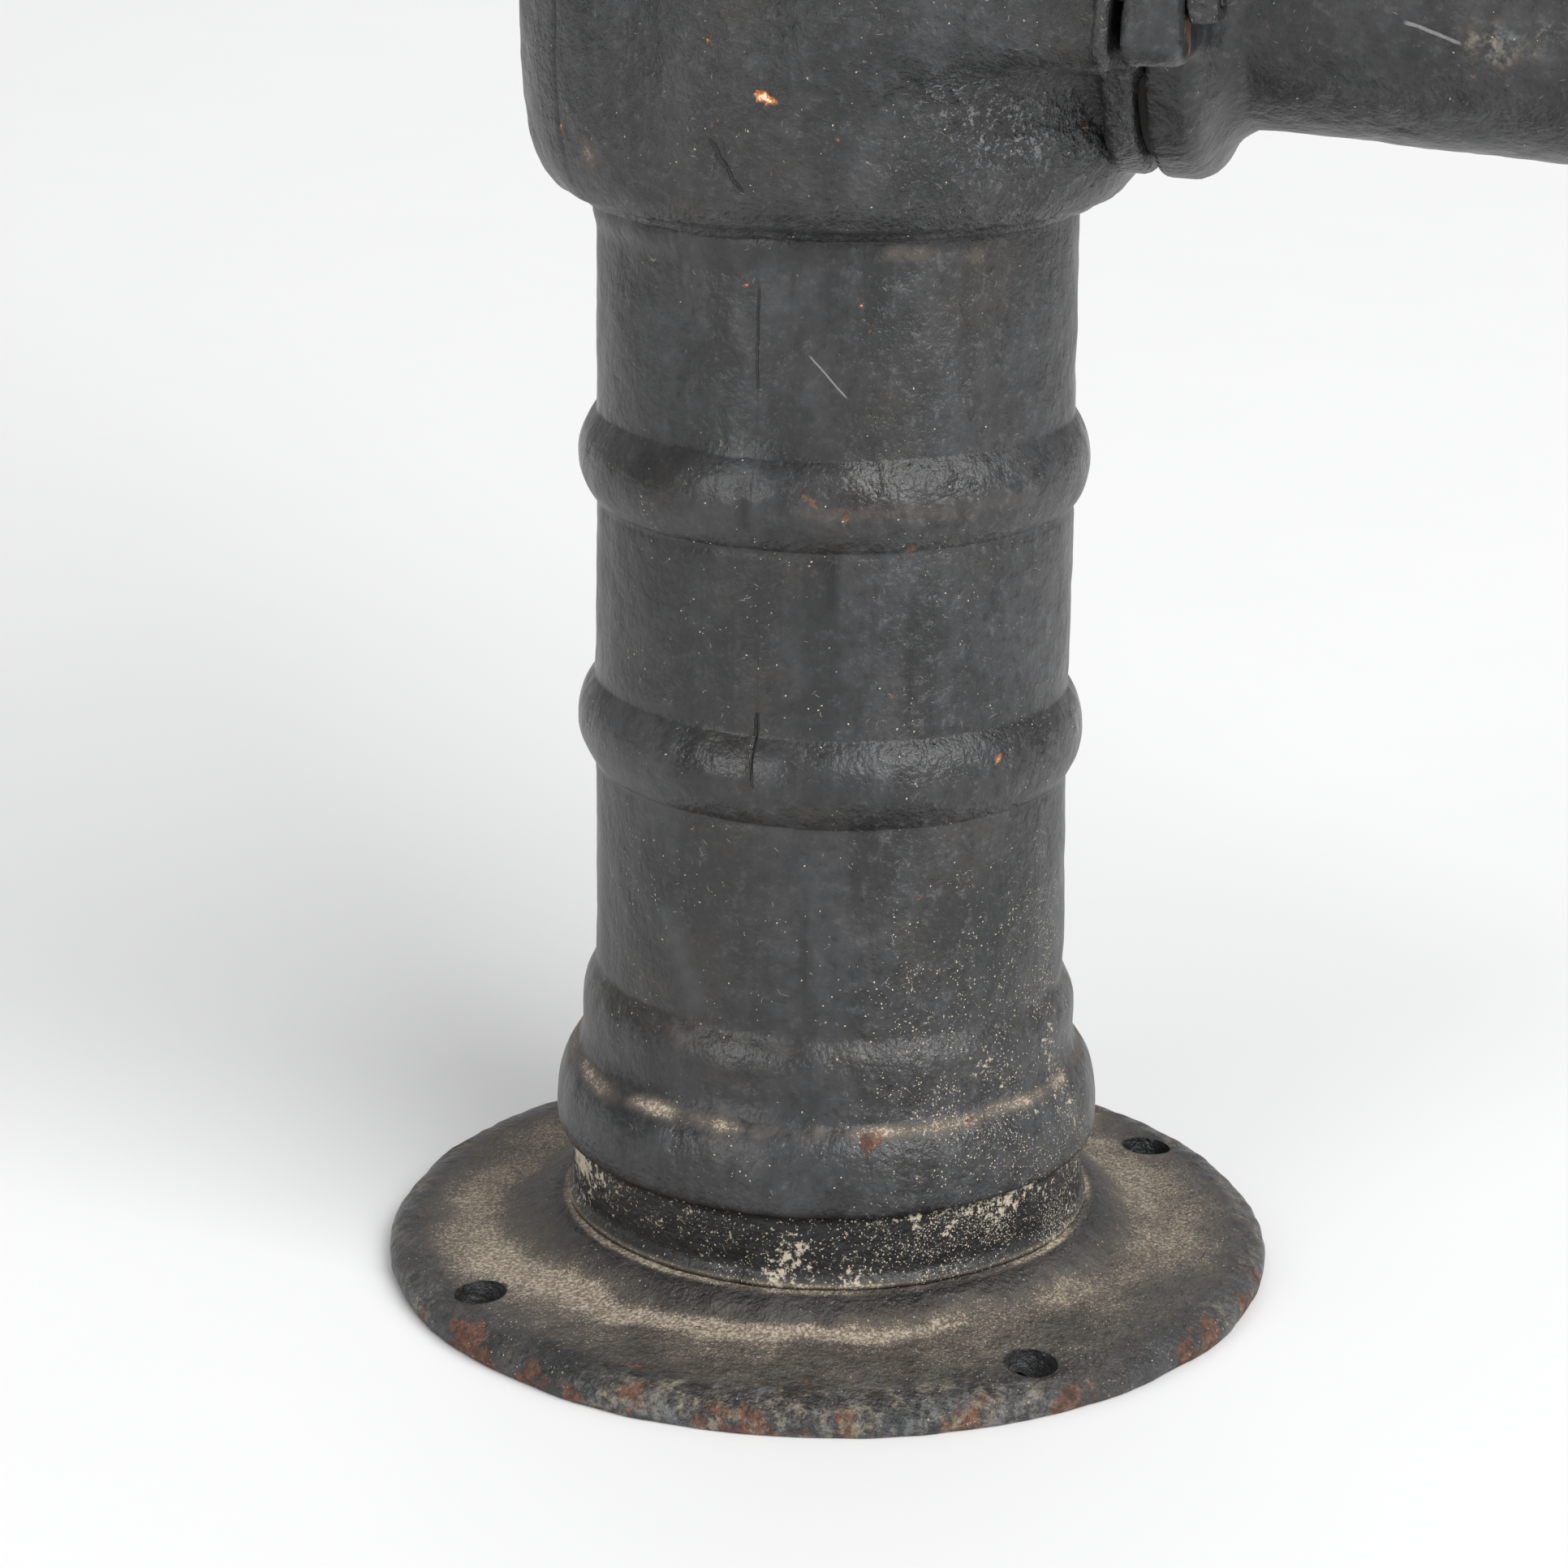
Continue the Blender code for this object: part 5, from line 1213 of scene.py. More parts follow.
def spout(paint):
    """The spout's pipe, beaded mouth, collar and ears, hollow right through."""
    path, radii, drop = spout_path()
    cell = CASTING_CELL
    low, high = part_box("spout")
    low, high = low - MARGIN, high + MARGIN
    x, y, z = lattice(low, high, cell)
    ahead = path[1] - path[0]
    first = path[0] - ahead.normalized() * 0.030
    last = path[-1] + drop * 0.030
    line = [(p.x, p.z, r) for p, r in zip([first, *path, last], [radii[0], *radii, radii[-1]])]
    away, (reach,) = path_field(x, z, line)
    centre_distance = np.sqrt(away**2 + y**2)
    mouth = path[-1]
    beyond = (x - mouth.x) * drop.x + (z - mouth.z) * drop.z
    pipe = np.maximum(centre_distance - reach, beyond)
    bead_height = beyond + 0.0065
    bead = np.maximum(np.sqrt((centre_distance - reach - 0.0005) ** 2 + bead_height**2) - 0.0062, beyond)
    pipe = joined(pipe, bead, 0.003)
    level = z - OUTLET_HEIGHT
    across = leaning(x, level)
    pipe = np.maximum(pipe, SPOUT_FACE + 0.002 - across)
    collar = [(0.0, SPOUT_FACE), (0.0645, SPOUT_FACE), (OUTLET_FLANGE_RADIUS, 0.1050)]
    collar += [(OUTLET_FLANGE_RADIUS, 0.1145), (0.0645, 0.1180), (0.0620, 0.1198), (0.0580, 0.1218)]
    collar += [(0.0545, 0.1242), (0.0520, 0.1275), (0.0, 0.1275)]
    collar = leaning_field(x, y, level, collar)
    ears = block_field(y, level, EAR_REACH - 0.0035, EAR_HALF_HEIGHT - 0.0035, 0.0075)
    ears = slab(ears, x - (SPOUT_FACE + 0.1125) / 2, 0.0035 + (0.1125 - SPOUT_FACE) / 2) - 0.0035
    ears = np.maximum(ears, SPOUT_FACE - across)
    shape = joined(joined(pipe, collar, 0.003), ears, 0.005)
    bore = centre_distance - np.minimum(reach - SPOUT_WALL, OUTLET_BORE + (x - SPOUT_FACE) * 0.08)
    shape = carved(shape, bore, 0.002)
    for side in (-1, 1):
        shape = carved(shape, np.hypot(y - side * STUD_OFFSET, level) - STUD_RADIUS - GAP, 0.0006)
    points, faces = surface_of(shape, low, cell)
    flat = ease(SPOUT_FACE + 0.0004, SPOUT_FACE + 0.003, leaning(points[:, 0], points[:, 2] - OUTLET_HEIGHT))
    points, normals = roughened(points, faces, 70, 0.00045, 0.00026, flat)
    seam = bell(points[:, 1] - 0.001, 0.0011) * ease(0.130, 0.140, points[:, 0])
    gouge = spots(points, SPOUT_GOUGES) * (0.6 + 0.6 * rough_noise(points, 0.008, 72))
    scar = spots(points, [(at, 2.0 * reach) for at, reach in SPOUT_GOUGES]) * (
        0.7 + 0.7 * rough_noise(points, 0.010, 71)
    )
    move = 0.00035 * seam - 0.0022 * gouge + 0.0008 * np.clip(scar - gouge, 0.0, 1.0)
    move += 0.00010 * wave_noise(points, 0.005, 73)
    points = points + normals * (move * flat)[:, None]
    layers = grime(points, normals, 74, dust=0.30, lint=0.14)
    layers["crust_and_sheen"] = 0.85 * np.clip(scar, 0.0, 1.0)
    # The gouges darkened as painted shade in their hollows
    layers["black"] = np.clip(0.9 * gouge, 0.0, 1.0)
    layers["glossy"] = np.clip(0.8 * gouge, 0.0, 1.0)
    layers["chip"] = 0.6 * spots(points, SPOUT_DOTS)
    layers["rust"] += 0.25 * ease(-0.010, -0.002, (points - np.array(mouth)) @ np.array(drop))
    # Rust where water runs down from the nuts
    damp = [
        ((SPOUT_FACE + 0.014, side * (STUD_OFFSET + 0.004), OUTLET_HEIGHT - 0.010), 0.014)
        for side in (-1, 1)
    ]
    layers["rust"] += 0.58 * spots(points, damp)
    layers["smooth"] = np.full(len(points), 0.45)
    return add_piece("spout_casting", points, faces, paint, "stand", "spout", "spout_paint", layers)


def outlet_gasket(leather):
    """The packing ring between the outlet's two flanges."""
    rows = [
        (0.0002, OUTLET_FACE + GAP), (0.0603, OUTLET_FACE + GAP), (0.0606, (OUTLET_FACE + SPOUT_FACE) / 2)
    ]
    rows += [(0.0603, SPOUT_FACE - GAP), (0.0002, SPOUT_FACE - GAP)]
    points, faces = turned_grid(rows, np.arange(160) * 2.25)
    points = placed(points, ALONG_X, (0.0, 0.0, OUTLET_HEIGHT))
    points[:, 0] -= leaning(0.0, points[:, 2] - OUTLET_HEIGHT)
    layers = grime(points, vertex_normals(points, faces), 78)
    piece = add_piece(
        "outlet_gasket_ring", points, faces, leather, "stand", "outlet_gasket", "gasket_leather", layers
    )
    cut_away(
        piece,
        turned_tool(
            [(OUTLET_BORE, 0.060), (OUTLET_BORE, 0.11)], 96,
            Matrix.Translation((0.0, 0.0, OUTLET_HEIGHT)) @ ALONG_X,
        ),
    )
    return piece


def arm_shape():
    """One bracket arm's outline in X and Z: a tapered post with a round eye."""
    eye = 0.020
    points = [(-0.108, 0.650), (-0.058, 0.650), (-0.064, 0.690), (-0.0735, 0.760)]
    for i in range(17):
        angle = math.radians(-10.0 + 200.0 * i / 16)
        points.append((FULCRUM.x + eye * math.cos(angle), FULCRUM.z + eye * math.sin(angle)))
    return points + [(-0.1145, 0.760), (-0.110, 0.690)]


def top_cap(paint):
    """The domed cap with its stuffing box, and the two arms that carry the lever."""
    cell = CASTING_CELL
    low = (-0.1200, -0.1200, 0.6400)
    x, y, z = lattice(low, (0.1200, 0.1200, 0.8540), cell)
    radial = np.hypot(x, y)
    flange = [(0.0, CAP_BOTTOM), (RIM_RADIUS - 0.001, CAP_BOTTOM), (RIM_RADIUS, CAP_BOTTOM + 0.001)]
    flange += [(RIM_RADIUS, 0.6505), (0.1150, 0.6530), (0.1130, CAP_FLANGE_TOP)]
    dome = [(0.095, CAP_FLANGE_TOP), (0.090, 0.658), (0.084, 0.668), (0.072, 0.679), (0.056, 0.688)]
    neck = [
        (0.040, 0.693), (0.033, 0.697), (0.0315, 0.704), (0.0315, 0.7145), (0.0305, BOX_TOP), (0.0, BOX_TOP)
    ]
    shape = turned_field(radial, z, flange + dome + neck)
    arm = slab(outline_field(x, z, arm_shape()), np.abs(y) - 0.019, 0.006)
    boss = slab(np.hypot(x - FULCRUM.x, z - FULCRUM.z) - 0.0165, np.abs(y) - 0.0190, 0.0060)
    web = slab(
        outline_field(x, z, [(-0.108, 0.650), (-0.062, 0.650), (-0.070, 0.7095), (-0.108, 0.7095)]), y,
        0.017,
    )
    under = [
        FULCRUM.z + (a - FULCRUM.x) * math.tan(SWING) - 0.0243 / math.cos(SWING) - 0.0009
        for a in (-0.106, -0.118)
    ]
    stop = [(-0.1125, 0.741), (-0.103, 0.741), (-0.106, under[0]), (-0.1178, under[1])]
    stop = slab(outline_field(x, z, stop), y, 0.0165)
    arm = joined(arm, boss)
    arm = joined(joined(arm, web, 0.004), stop, 0.003)
    shape = joined(shape, arm, 0.009)
    shape = carved(shape, np.maximum(np.maximum(np.abs(y) - ARM_INNER, 0.7395 - z), -0.1025 - x))
    shape = carved(shape, np.hypot(x - FULCRUM.x, z - FULCRUM.z) - 0.0093 + 0.0 * y, 0.001)
    for at in cap_bolt_places():
        shape = carved(shape, np.hypot(x - at.x, y - at.y) - STUD_RADIUS - GAP + 0.0 * z, 0.0006)
    points, faces = surface_of(shape, low, cell)
    flat = ease(CAP_BOTTOM + 0.0004, CAP_BOTTOM + 0.002, points[:, 2])
    pin = np.hypot(points[:, 0] - FULCRUM.x, points[:, 2] - FULCRUM.z)
    flat = flat * ease(0.0155, 0.0175, pin)
    points, normals = roughened(points, faces, 90, 0.00040, 0.00025, flat)
    layers = grime(points, normals, 91, dust=0.42, lint=0.25)
    layers["dust"] += 0.22 * ease(0.4, 0.9, normals[:, 2]) * rough_noise(points, 0.05, 94)
    crease = bell(round_places(points)[1] - 0.0955, 0.004) * ease(0.662, 0.655, points[:, 2])
    layers["dust"] += 0.4 * crease
    layers["rust"] += 0.5 * ease(0.0165, 0.0100, pin) * (0.6 + 0.6 * rough_noise(points, 0.01, 92))
    layers["smooth"] = np.full(len(points), 0.4)
    piece = add_piece("cap_casting", points, faces, paint, "stand", "top_cap", "cap_paint", layers)
    inside = [(0.080, CAP_BOTTOM - 0.005), (0.080, 0.650), (0.074, 0.661), (0.060, 0.671)]
    inside += [(0.040, 0.678), (0.0128, 0.680), (0.0128, 0.696), (0.0170, 0.696), (0.0170, BOX_TOP + 0.005)]
    cut_away(piece, turned_tool(inside, 96))
    return piece


def lever_path():
    """(x, z, half depth, corner) along the lever at rest, from its pivot, rod end first."""
    along = Vector((math.cos(SWING), 0.0, math.sin(SWING)))
    head = (
        (0.1095, 0.0185), (0.084, 0.0185), (0.066, 0.0165), (0.040, 0.0170), (0.022, 0.0225), (0.0, 0.0245)
    )
    tail = ((-0.022, 0.0225), (-0.045, 0.0190), (-0.110, 0.0178))
    path = [(along * s, depth, 0.0030) for s, depth in head + tail]
    start = path[-2][0]
    bends = [start, start - along * 0.130, Vector((-0.242, 0, -0.165)), Vector((-0.252, 0, -0.300))]
    bar = curve_points(bends, 24)
    path = path[:-1] + [
        (p, 0.0190 - 0.0050 * (i + 1) / 24, 0.0030 + 0.0075 * (i + 1) / 24)
        for i, p in enumerate(bar)
    ]
    grip = [bar[-1], Vector((-0.253, 0, -0.345)), Vector((-0.258, 0, -0.372)), Vector((-0.269, 0, -0.393))]
    grip = curve_points(grip, 10)
    path += [(p, 0.0138 - 0.0012 * (i + 1) / 10, 0.0112) for i, p in enumerate(grip)]
    return path, (grip[-1] - grip[-2]).normalized()


def curve_points(points, steps):
    """Points along a cubic curve, without its first point."""
    a, b, c, d = points
    curve = []
    for i in range(1, steps + 1):
        t = i / steps
        curve.append(a * (1 - t) ** 3 + b * 3 * t * (1 - t) ** 2 + c * 3 * t * t * (1 - t) + d * t**3)
    return curve


def lever(paint):
    """The curved lever with its eye, slotted rod end and round grip."""
    path, ahead = lever_path()
    cell = 0.00145
    low = (-0.3050, -0.0230, -0.4350)
    x, y, z = lattice(low, (0.1330, 0.0230, 0.0750), cell)
    away, (depth, corner) = path_field(x, z, [(p.x, p.z, half, c) for p, half, c in path])
    flat = away - depth + corner
    across = np.abs(y) - 0.0109 + corner
    bar = np.sqrt(np.maximum(flat, 0.0) ** 2 + np.maximum(across, 0.0) ** 2)
    bar = bar + np.minimum(np.maximum(flat, across), 0.0) - corner
    end = path[-1][0] + ahead * 0.0135
    knob = np.sqrt((x - end.x) ** 2 + y**2 + (z - end.z) ** 2) - 0.0203
    shape = joined(bar, knob, 0.007)
    boss = slab(np.hypot(x, z) - 0.0222, y, LEVER_HALF_WIDTH - 0.0006) - 0.0004
    along = Vector((math.cos(SWING), 0.0, math.sin(SWING)))
    near, far = along * ROD_ARM, along * (ROD_ARM / math.cos(SWING))
    slot, _ = path_field(x, z, [(near.x, near.z), (far.x, far.z)])
    pad = slab(slot - 0.0140, y, LEVER_HALF_WIDTH - 0.0006) - 0.0004
    shape = joined(joined(shape, boss, 0.0015), pad, 0.0015)
    shape = carved(shape, np.hypot(x, z) - 0.0121 + 0.0 * y, 0.0008)
    shape = carved(shape, slot - 0.0092 + 0.0 * y, 0.0008)
    points, faces = surface_of(shape, low, cell)
    flat = ease(0.0145, 0.0170, np.hypot(points[:, 0], points[:, 2]))
    slot_distance = np.hypot(points[:, 0] - near.x, points[:, 2] - near.z)
    flat = flat * ease(0.0120, 0.0180, slot_distance)
    points, _ = roughened(points, faces, 110, 0.00035, 0.00022, flat)
    down = points[:, 2].copy()
    points = points + np.array(FULCRUM)
    normals = vertex_normals(points, faces)
    layers = grime(points, normals, 111, dust=0.55, lint=0.40)
    grip = ease(-0.260, -0.330, down)
    layers["smooth"] = 0.35 + 0.6 * grip
    layers["dust"] *= 1.0 - 0.8 * grip
    layers["lint"] *= 1.0 - 0.6 * grip
    layers["rust"] += 0.45 * (1.0 - flat)
    dots = [((-0.16, -0.011, 0.792), 0.003), ((-0.24, -0.011, 0.70), 0.0035), ((-0.30, -0.011, 0.60), 0.003)]
    layers["chip"] = spots(points, dots)
    return add_piece("lever_forging", points, faces, paint, "lever", "lever", "lever_paint", layers)


def rod_clevis(iron):
    """The forged fork on top of the rod."""
    cell = 0.0007
    low = (-0.0175, -0.0225, -0.0490)
    x, y, z = lattice(low, (0.0175, 0.0225, 0.0170), cell)
    ear = np.maximum(np.hypot(x, np.maximum(z, 0.0)) - 0.0150, -0.0359 - z)
    ears = slab(ear, np.abs(y) - 0.01675, 0.00375 - 0.0006) - 0.0004
    bridge = block_field(x, z + 0.0317, 0.0149, 0.0042, 0.0015)
    bridge = slab(bridge, y, 0.0198) - 0.0002
    socket = np.maximum(np.hypot(x, y) - 0.0145, np.abs(z + 0.0403) - 0.0064)
    socket = np.maximum(socket, np.hypot(x, y) - 0.0145 - (z + 0.0443) * 0.35)
    shape = joined(joined(ears, bridge, 0.0030), socket, 0.0020)
    shape = carved(shape, np.maximum(np.hypot(x, y) - 0.0073, z + 0.0322), 0.0004)
    shape = carved(shape, np.hypot(x, z) - 0.0083 + 0.0 * y, 0.0006)
    points, faces = surface_of(shape, low, cell)
    points, _ = roughened(points, faces, 130, 0.00012, 0.00010)
    points = points + np.array((0.0, 0.0, PIN_HEIGHT))
    layers = grime(points, vertex_normals(points, faces), 131, dust=0.4, lint=0.3)
    return add_piece("clevis_forging", points, faces, iron, "pump_rod", "rod_clevis", "plain_iron", layers)


# Pieces: fasteners, pins and the rod


def prism_field(a, b, height, half, corners, middle, half_height):
    """A regular prism along the height, its end corners rounded off as on a pressed nut."""
    angle = np.arctan2(b, a)
    sector = math.tau / corners
    turn = np.mod(angle + sector / 2, sector) - sector / 2
    radial = np.hypot(a, b)
    flat = radial * np.cos(turn) - half
    end = np.abs(height - middle) - half_height
    cone = (radial - half * 1.04) * 0.5 + end
    outside = np.sqrt(np.maximum(flat, 0.0) ** 2 + np.maximum(end, 0.0) ** 2)
    return np.maximum(np.minimum(np.maximum(flat, end), 0.0) + outside, cone)


def placed(points, turn, at):
    """Points in a piece's own frame, turned and moved to where it sits."""
    matrix = np.array(turn.to_3x3())
    return points @ matrix.T + np.array(at)


def nut_piece(half, corners, low_z, high_z, bore, turn, at, seed, look, shank=None):
    """A nut, or with a shank a bolt. Look is (material, body, node, slot)."""
    cell = 0.0005
    reach = half / math.cos(math.pi / corners) + 0.0012
    bottom = shank[1] if shank else low_z
    low = (-reach, -reach, bottom - 0.0012)
    x, y, z = lattice(low, (reach, reach, high_z + 0.0012), cell)
    shape = prism_field(x, y, z, half, corners, (low_z + high_z) / 2, (high_z - low_z) / 2)
    if shank:
        thread = 0.00022 * np.sin(math.tau * z / 0.0015 + np.arctan2(y, x))
        pole = np.maximum(np.hypot(x, y) - shank[0] + 0.0002 - thread, bottom - z)
        shape = joined(shape, np.maximum(pole, z - low_z - 0.002), 0.0006)
    if bore:
        shape = carved(shape, np.hypot(x, y) - bore + 0.0 * z, 0.0009)
    points, faces = surface_of(shape, low, cell)
    normals = vertex_normals(points, faces)
    mark = points + seed
    dents = 0.00030 * np.minimum(
        rough_noise(mark, 0.006, seed), 0.1
    ) + 0.00010 * wave_noise(mark, 0.0025, seed)
    points = points + normals * dents[:, None]
    points = placed(points, turn, at)
    layers = grime(points, vertex_normals(points, faces), seed, dust=0.55, lint=0.35, rust=0.16)
    return add_piece(f"{look[2]}_worn", points, faces, *look, layers)


def turned_piece(rows, sides, turn, at, look, seed, rust=0.0):
    """A closed turned outline as a piece. Look is (material, body, node, slot)."""
    points, faces = turned_grid(rows, np.arange(sides) * 360.0 / sides)
    points = placed(points, turn, at)
    layers = grime(points, vertex_normals(points, faces), seed, dust=0.45, lint=0.30, rust=rust)
    return add_piece(f"{look[2]}_turned", points, faces, *look, layers)


def threaded(radius, start, end, depth=0.00045, pitch=0.0015):
    """The ridges of a screw's thread as an outline from start to end."""
    count = int((end - start) / pitch)
    rows = []
    for i in range(count):
        z = start + i * pitch
        rows += [(radius - depth, z), (radius, z + 0.4 * pitch), (radius, z + 0.55 * pitch)]
    return rows + [(radius - depth, end)]


def outlet_fixings(paint):
    """The two studs and nuts that hold the spout."""
    for name, side, seed in (("front", -1, 150), ("back", 1, 153)):
        at = (0.0, side * STUD_OFFSET, OUTLET_HEIGHT)
        bottom = 0.1195 + GAP
        look = (paint, "stand", f"outlet_nut_{name}", "fastener_steel")
        nut_piece(0.0089, 4, bottom, bottom + 0.0085, STUD_RADIUS + GAP, ALONG_X, at, seed, look)
        rows = [(0.0, 0.0700), (STUD_RADIUS - 0.0004, 0.0700), (STUD_RADIUS, 0.0710), (STUD_RADIUS, 0.1185)]
        rows += threaded(STUD_RADIUS, 0.1185, 0.1315) + [(0.0040, 0.1325), (0.0025, 0.1330), (0.0, 0.1331)]
        rows = [(max(r, 0.0002), z) for r, z in rows]
        look = (paint, "stand", f"outlet_stud_{name}", "fastener_steel")
        turned_piece(rows, 48, ALONG_X, at, look, seed + 1, rust=0.2)


def cap_fixings(paint, brass):
    """The cap's four square-headed screws and the gland nut."""
    for i, at in enumerate(cap_bolt_places()):
        head = CAP_FLANGE_TOP + GAP
        look = (paint, "stand", f"cap_bolt_{i + 1}", "fastener_steel")
        shank = (STUD_RADIUS, RIM_TOP - 0.012)
        nut_piece(0.0084, 4, head, head + 0.007, None, QUARTER, at, 160 + i, look, shank)
    shoulder, top = BOX_TOP + GAP, BOX_TOP + 0.010
    cell = 0.0007
    low = (-0.0260, -0.0260, 0.7070)
    x, y, z = lattice(low, (0.0260, 0.0260, top + 0.0015), cell)
    hexagon = prism_field(x, y, z, 0.0209, 6, (shoulder + top) / 2, (top - shoulder) / 2)
    sleeve = np.maximum(np.hypot(x, y) - 0.0166, np.abs(z - 0.7130) - 0.0047)
    shape = carved(joined(hexagon, sleeve), np.hypot(x, y) - 0.0073 + 0.0 * z, 0.0008)
    points, faces = surface_of(shape, low, cell)
    points, _ = roughened(points, faces, 165, 0.00012, 0.00012)
    layers = grime(points, vertex_normals(points, faces), 166, dust=0.5, lint=0.3)
    add_piece("gland_nut_worn", points, faces, brass, "stand", "gland_nut", "gland_brass", layers)


def wire(line, radius, sides=16):
    """A closed round bar along a line of points, as points and quads with tapered ends."""
    count = len(line)
    rings = []
    side = Vector((1.0, 0.0, 0.0))
    for i, place in enumerate(line):
        ahead = (line[min(i + 1, count - 1)] - line[max(i - 1, 0)]).normalized()
        side = (side - ahead * side.dot(ahead)).normalized()
        up = ahead.cross(side)
        reach = radius * (0.45 if i in (0, count - 1) else 1.0)
        turns = [math.tau * k / sides for k in range(sides)]
        rings.append([place + reach * (math.cos(t) * side + math.sin(t) * up) for t in turns])
    tiny = radius * 0.02
    for end in (0, -1):
        middle = line[end]
        cap = [middle + (p - middle).normalized() * tiny for p in rings[end]]
        rings.insert(0 if end == 0 else len(rings), cap)
    points = np.array([tuple(p) for ring in rings for p in ring])
    index = np.arange(len(points)).reshape(len(rings), sides)
    one, other = index[:-1], index[1:]
    faces = np.stack(
        [one, np.roll(one, -1, axis=1), np.roll(other, -1, axis=1), other], axis=-1
    ).reshape(-1, 4)
    half = sides // 2
    caps = []
    for ring in (index[0], index[-1][::-1]):
        for k in range(half - 1):
            caps.append((ring[-1 - k], ring[sides - 2 - k], ring[k + 1], ring[k]))
    faces = np.concatenate([faces, np.array(caps)])
    return points, outward(points, faces)


def split_pin(name, at, half_length, steel, body, seed):
    """A pin of half-round wire doubled over: an eye, two legs and their bent ends."""
    radius = 0.00105
    line = []
    for side in (-1.0, 1.0):
        leg = [Vector((side * (0.0006 + 0.0012), 0.0, -half_length - 0.0006))]
        leg += [Vector((side * 0.0011, 0.0, -half_length + 0.0022)), Vector((side * 0.00075, 0.0, 0.0))]
        leg += [Vector((side * 0.00075, 0.0, half_length - 0.0008))]
        eye = [(0.0017, 0.0014), (0.0026, 0.0030), (0.0021, 0.0045), (0.0, 0.0053)]
        leg += [Vector((side * a, 0.0, half_length + b - 0.0006)) for a, b in eye[: 3 if side > 0 else 4]]
        line = leg if side < 0 else line + leg[::-1]
    fine = []
    for i in range(len(line) - 1):
        before, a, b, after = (line[min(max(k, 0), len(line) - 1)] for k in (i - 1, i, i + 1, i + 2))
        for step in range(4):
            t = step / 4
            fine.append(
                0.5 * (
                    2 * a + (b - before) * t + (
                        2 * before - 5 * a + 4 * b - after
                    ) * t * t + (3 * a - before - 3 * b + after) * t**3
                )
            )
    fine.append(line[-1])
    points, faces = wire(fine, radius)
    points = points + np.array(at)
    layers = grime(points, vertex_normals(points, faces), seed, dust=0.3, lint=0.2, rust=0.2)
    return add_piece(f"{name}_wire", points, faces, steel, body, name, "pin_steel", layers)


def headed_pin(name, radius, head_radius, head, tip, cotter_y, steel, body, at, seed):
    """A pin along Y with a domed head at its front end and a cross hole near its tip."""
    dome = [(0.0002, head - 0.0059), (0.55 * head_radius, head - 0.0056), (0.80 * head_radius, head - 0.0046)]
    dome += [(0.95 * head_radius, head - 0.0030), (head_radius, head - 0.0014), (head_radius - 0.0002, head)]
    shank = [(radius + 0.0004, head), (radius, head + 0.0005), (radius, tip - 0.0016)]
    shank += [(radius - 0.0004, tip - 0.0008), (radius - 0.0012, tip), (0.0002, tip)]
    rows = softened(spaced(dome + shank, 0.0009), 1)
    rows[0], rows[-1] = (0.0002, rows[0][1]), (0.0002, rows[-1][1])
    piece = turned_piece(rows, 64, ALONG_Y, at, (steel, body, name, "pin_steel"), seed, rust=0.12)
    place = Matrix.Translation(Vector(at) + Vector((0.0, cotter_y, 0.0)))
    cut_away(piece, turned_tool([(0.0024, -0.02), (0.0024, 0.02)], 32, place))
    return piece


def pins(steel):
    """The lever's and the clevis's pins with their washer, split pins and locknut."""
    head = -ARM_OUTER - GAP
    headed_pin("fulcrum_pin", 0.009, 0.014, head, 0.037, 0.0315, steel, "stand", FULCRUM, 180)
    rows = [
        (0.0093, 0.0), (0.0148, 0.0), (0.0150, 0.0004), (0.0150, 0.0017), (0.0147, 0.0021), (0.0096, 0.0021)
    ]
    washer = [(r, ARM_OUTER + GAP + z) for r, z in rows] + [(0.0093, ARM_OUTER + GAP + 0.0018)]
    look = (steel, "stand", "fulcrum_washer", "pin_steel")
    turned_piece(spaced(washer, 0.0008), 64, ALONG_Y, FULCRUM, look, 182, rust=0.15)
    split_pin("fulcrum_cotter", FULCRUM + Vector((0, 0.0315, 0)), 0.013, steel, "stand", 184)
    pin_at = Vector((0.0, 0.0, PIN_HEIGHT))
    headed_pin("clevis_pin", 0.008, 0.0120, -0.0208, 0.0310, 0.0262, steel, "pump_rod", pin_at, 186)
    split_pin("clevis_cotter", pin_at + Vector((0, 0.0262, 0)), 0.012, steel, "pump_rod", 188)
    low = PIN_HEIGHT - 0.0553
    look = (steel, "pump_rod", "clevis_locknut", "pin_steel")
    nut_piece(0.0109, 6, low, low + 0.008, 0.0073, Matrix(), (0, 0, 0), 190, look)


def pump_rod(steel):
    bottom, top = (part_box("pump_rod")[i].z for i in (0, 1))
    rows = [(0.0002, bottom), (0.0064, bottom), (0.0070, bottom + 0.0006), (0.0070, PIN_HEIGHT - 0.075)]
    rows = spaced(rows, 0.004)
    rows += threaded(0.0070, PIN_HEIGHT - 0.0735, top - 0.001) + [(0.0064, top), (0.0002, top)]
    look = (steel, "pump_rod", "pump_rod", "rod_steel")
    return turned_piece(rows, 48, Matrix(), (0, 0, 0), look, 195)


# Materials of the slots

COLUMN_LINES = (
    wall_line(-93.2, 0.3250, -93.2, 0.2950, 0.0719, 0.00025, 0.0012),
    wall_line(-92.6, 0.1990, -93.4, 0.1880, 0.0760, 0.00045, 0.0012),
    wall_line(-93.4, 0.1880, -92.2, 0.1770, 0.0760, 0.00045, 0.0012),
    wall_line(-81.1, 0.3059, -72.7, 0.2940, 0.0720, 0.00010, 0.0003, True),
)
BODY_LINES = (
    wall_line(-134.7, 0.4300, -134.7, 0.3660, 0.0938, 0.00020, 0.0008),
    wall_line(45.3, 0.6000, 45.3, 0.3660, 0.0938, 0.00020, 0.0008),
    wall_line(-97.5, 0.3697, -92.6, 0.3547, 0.0915, 0.00045, 0.0020),
)
SPOUT_SIDE = (0.0, -0.973, -0.229)
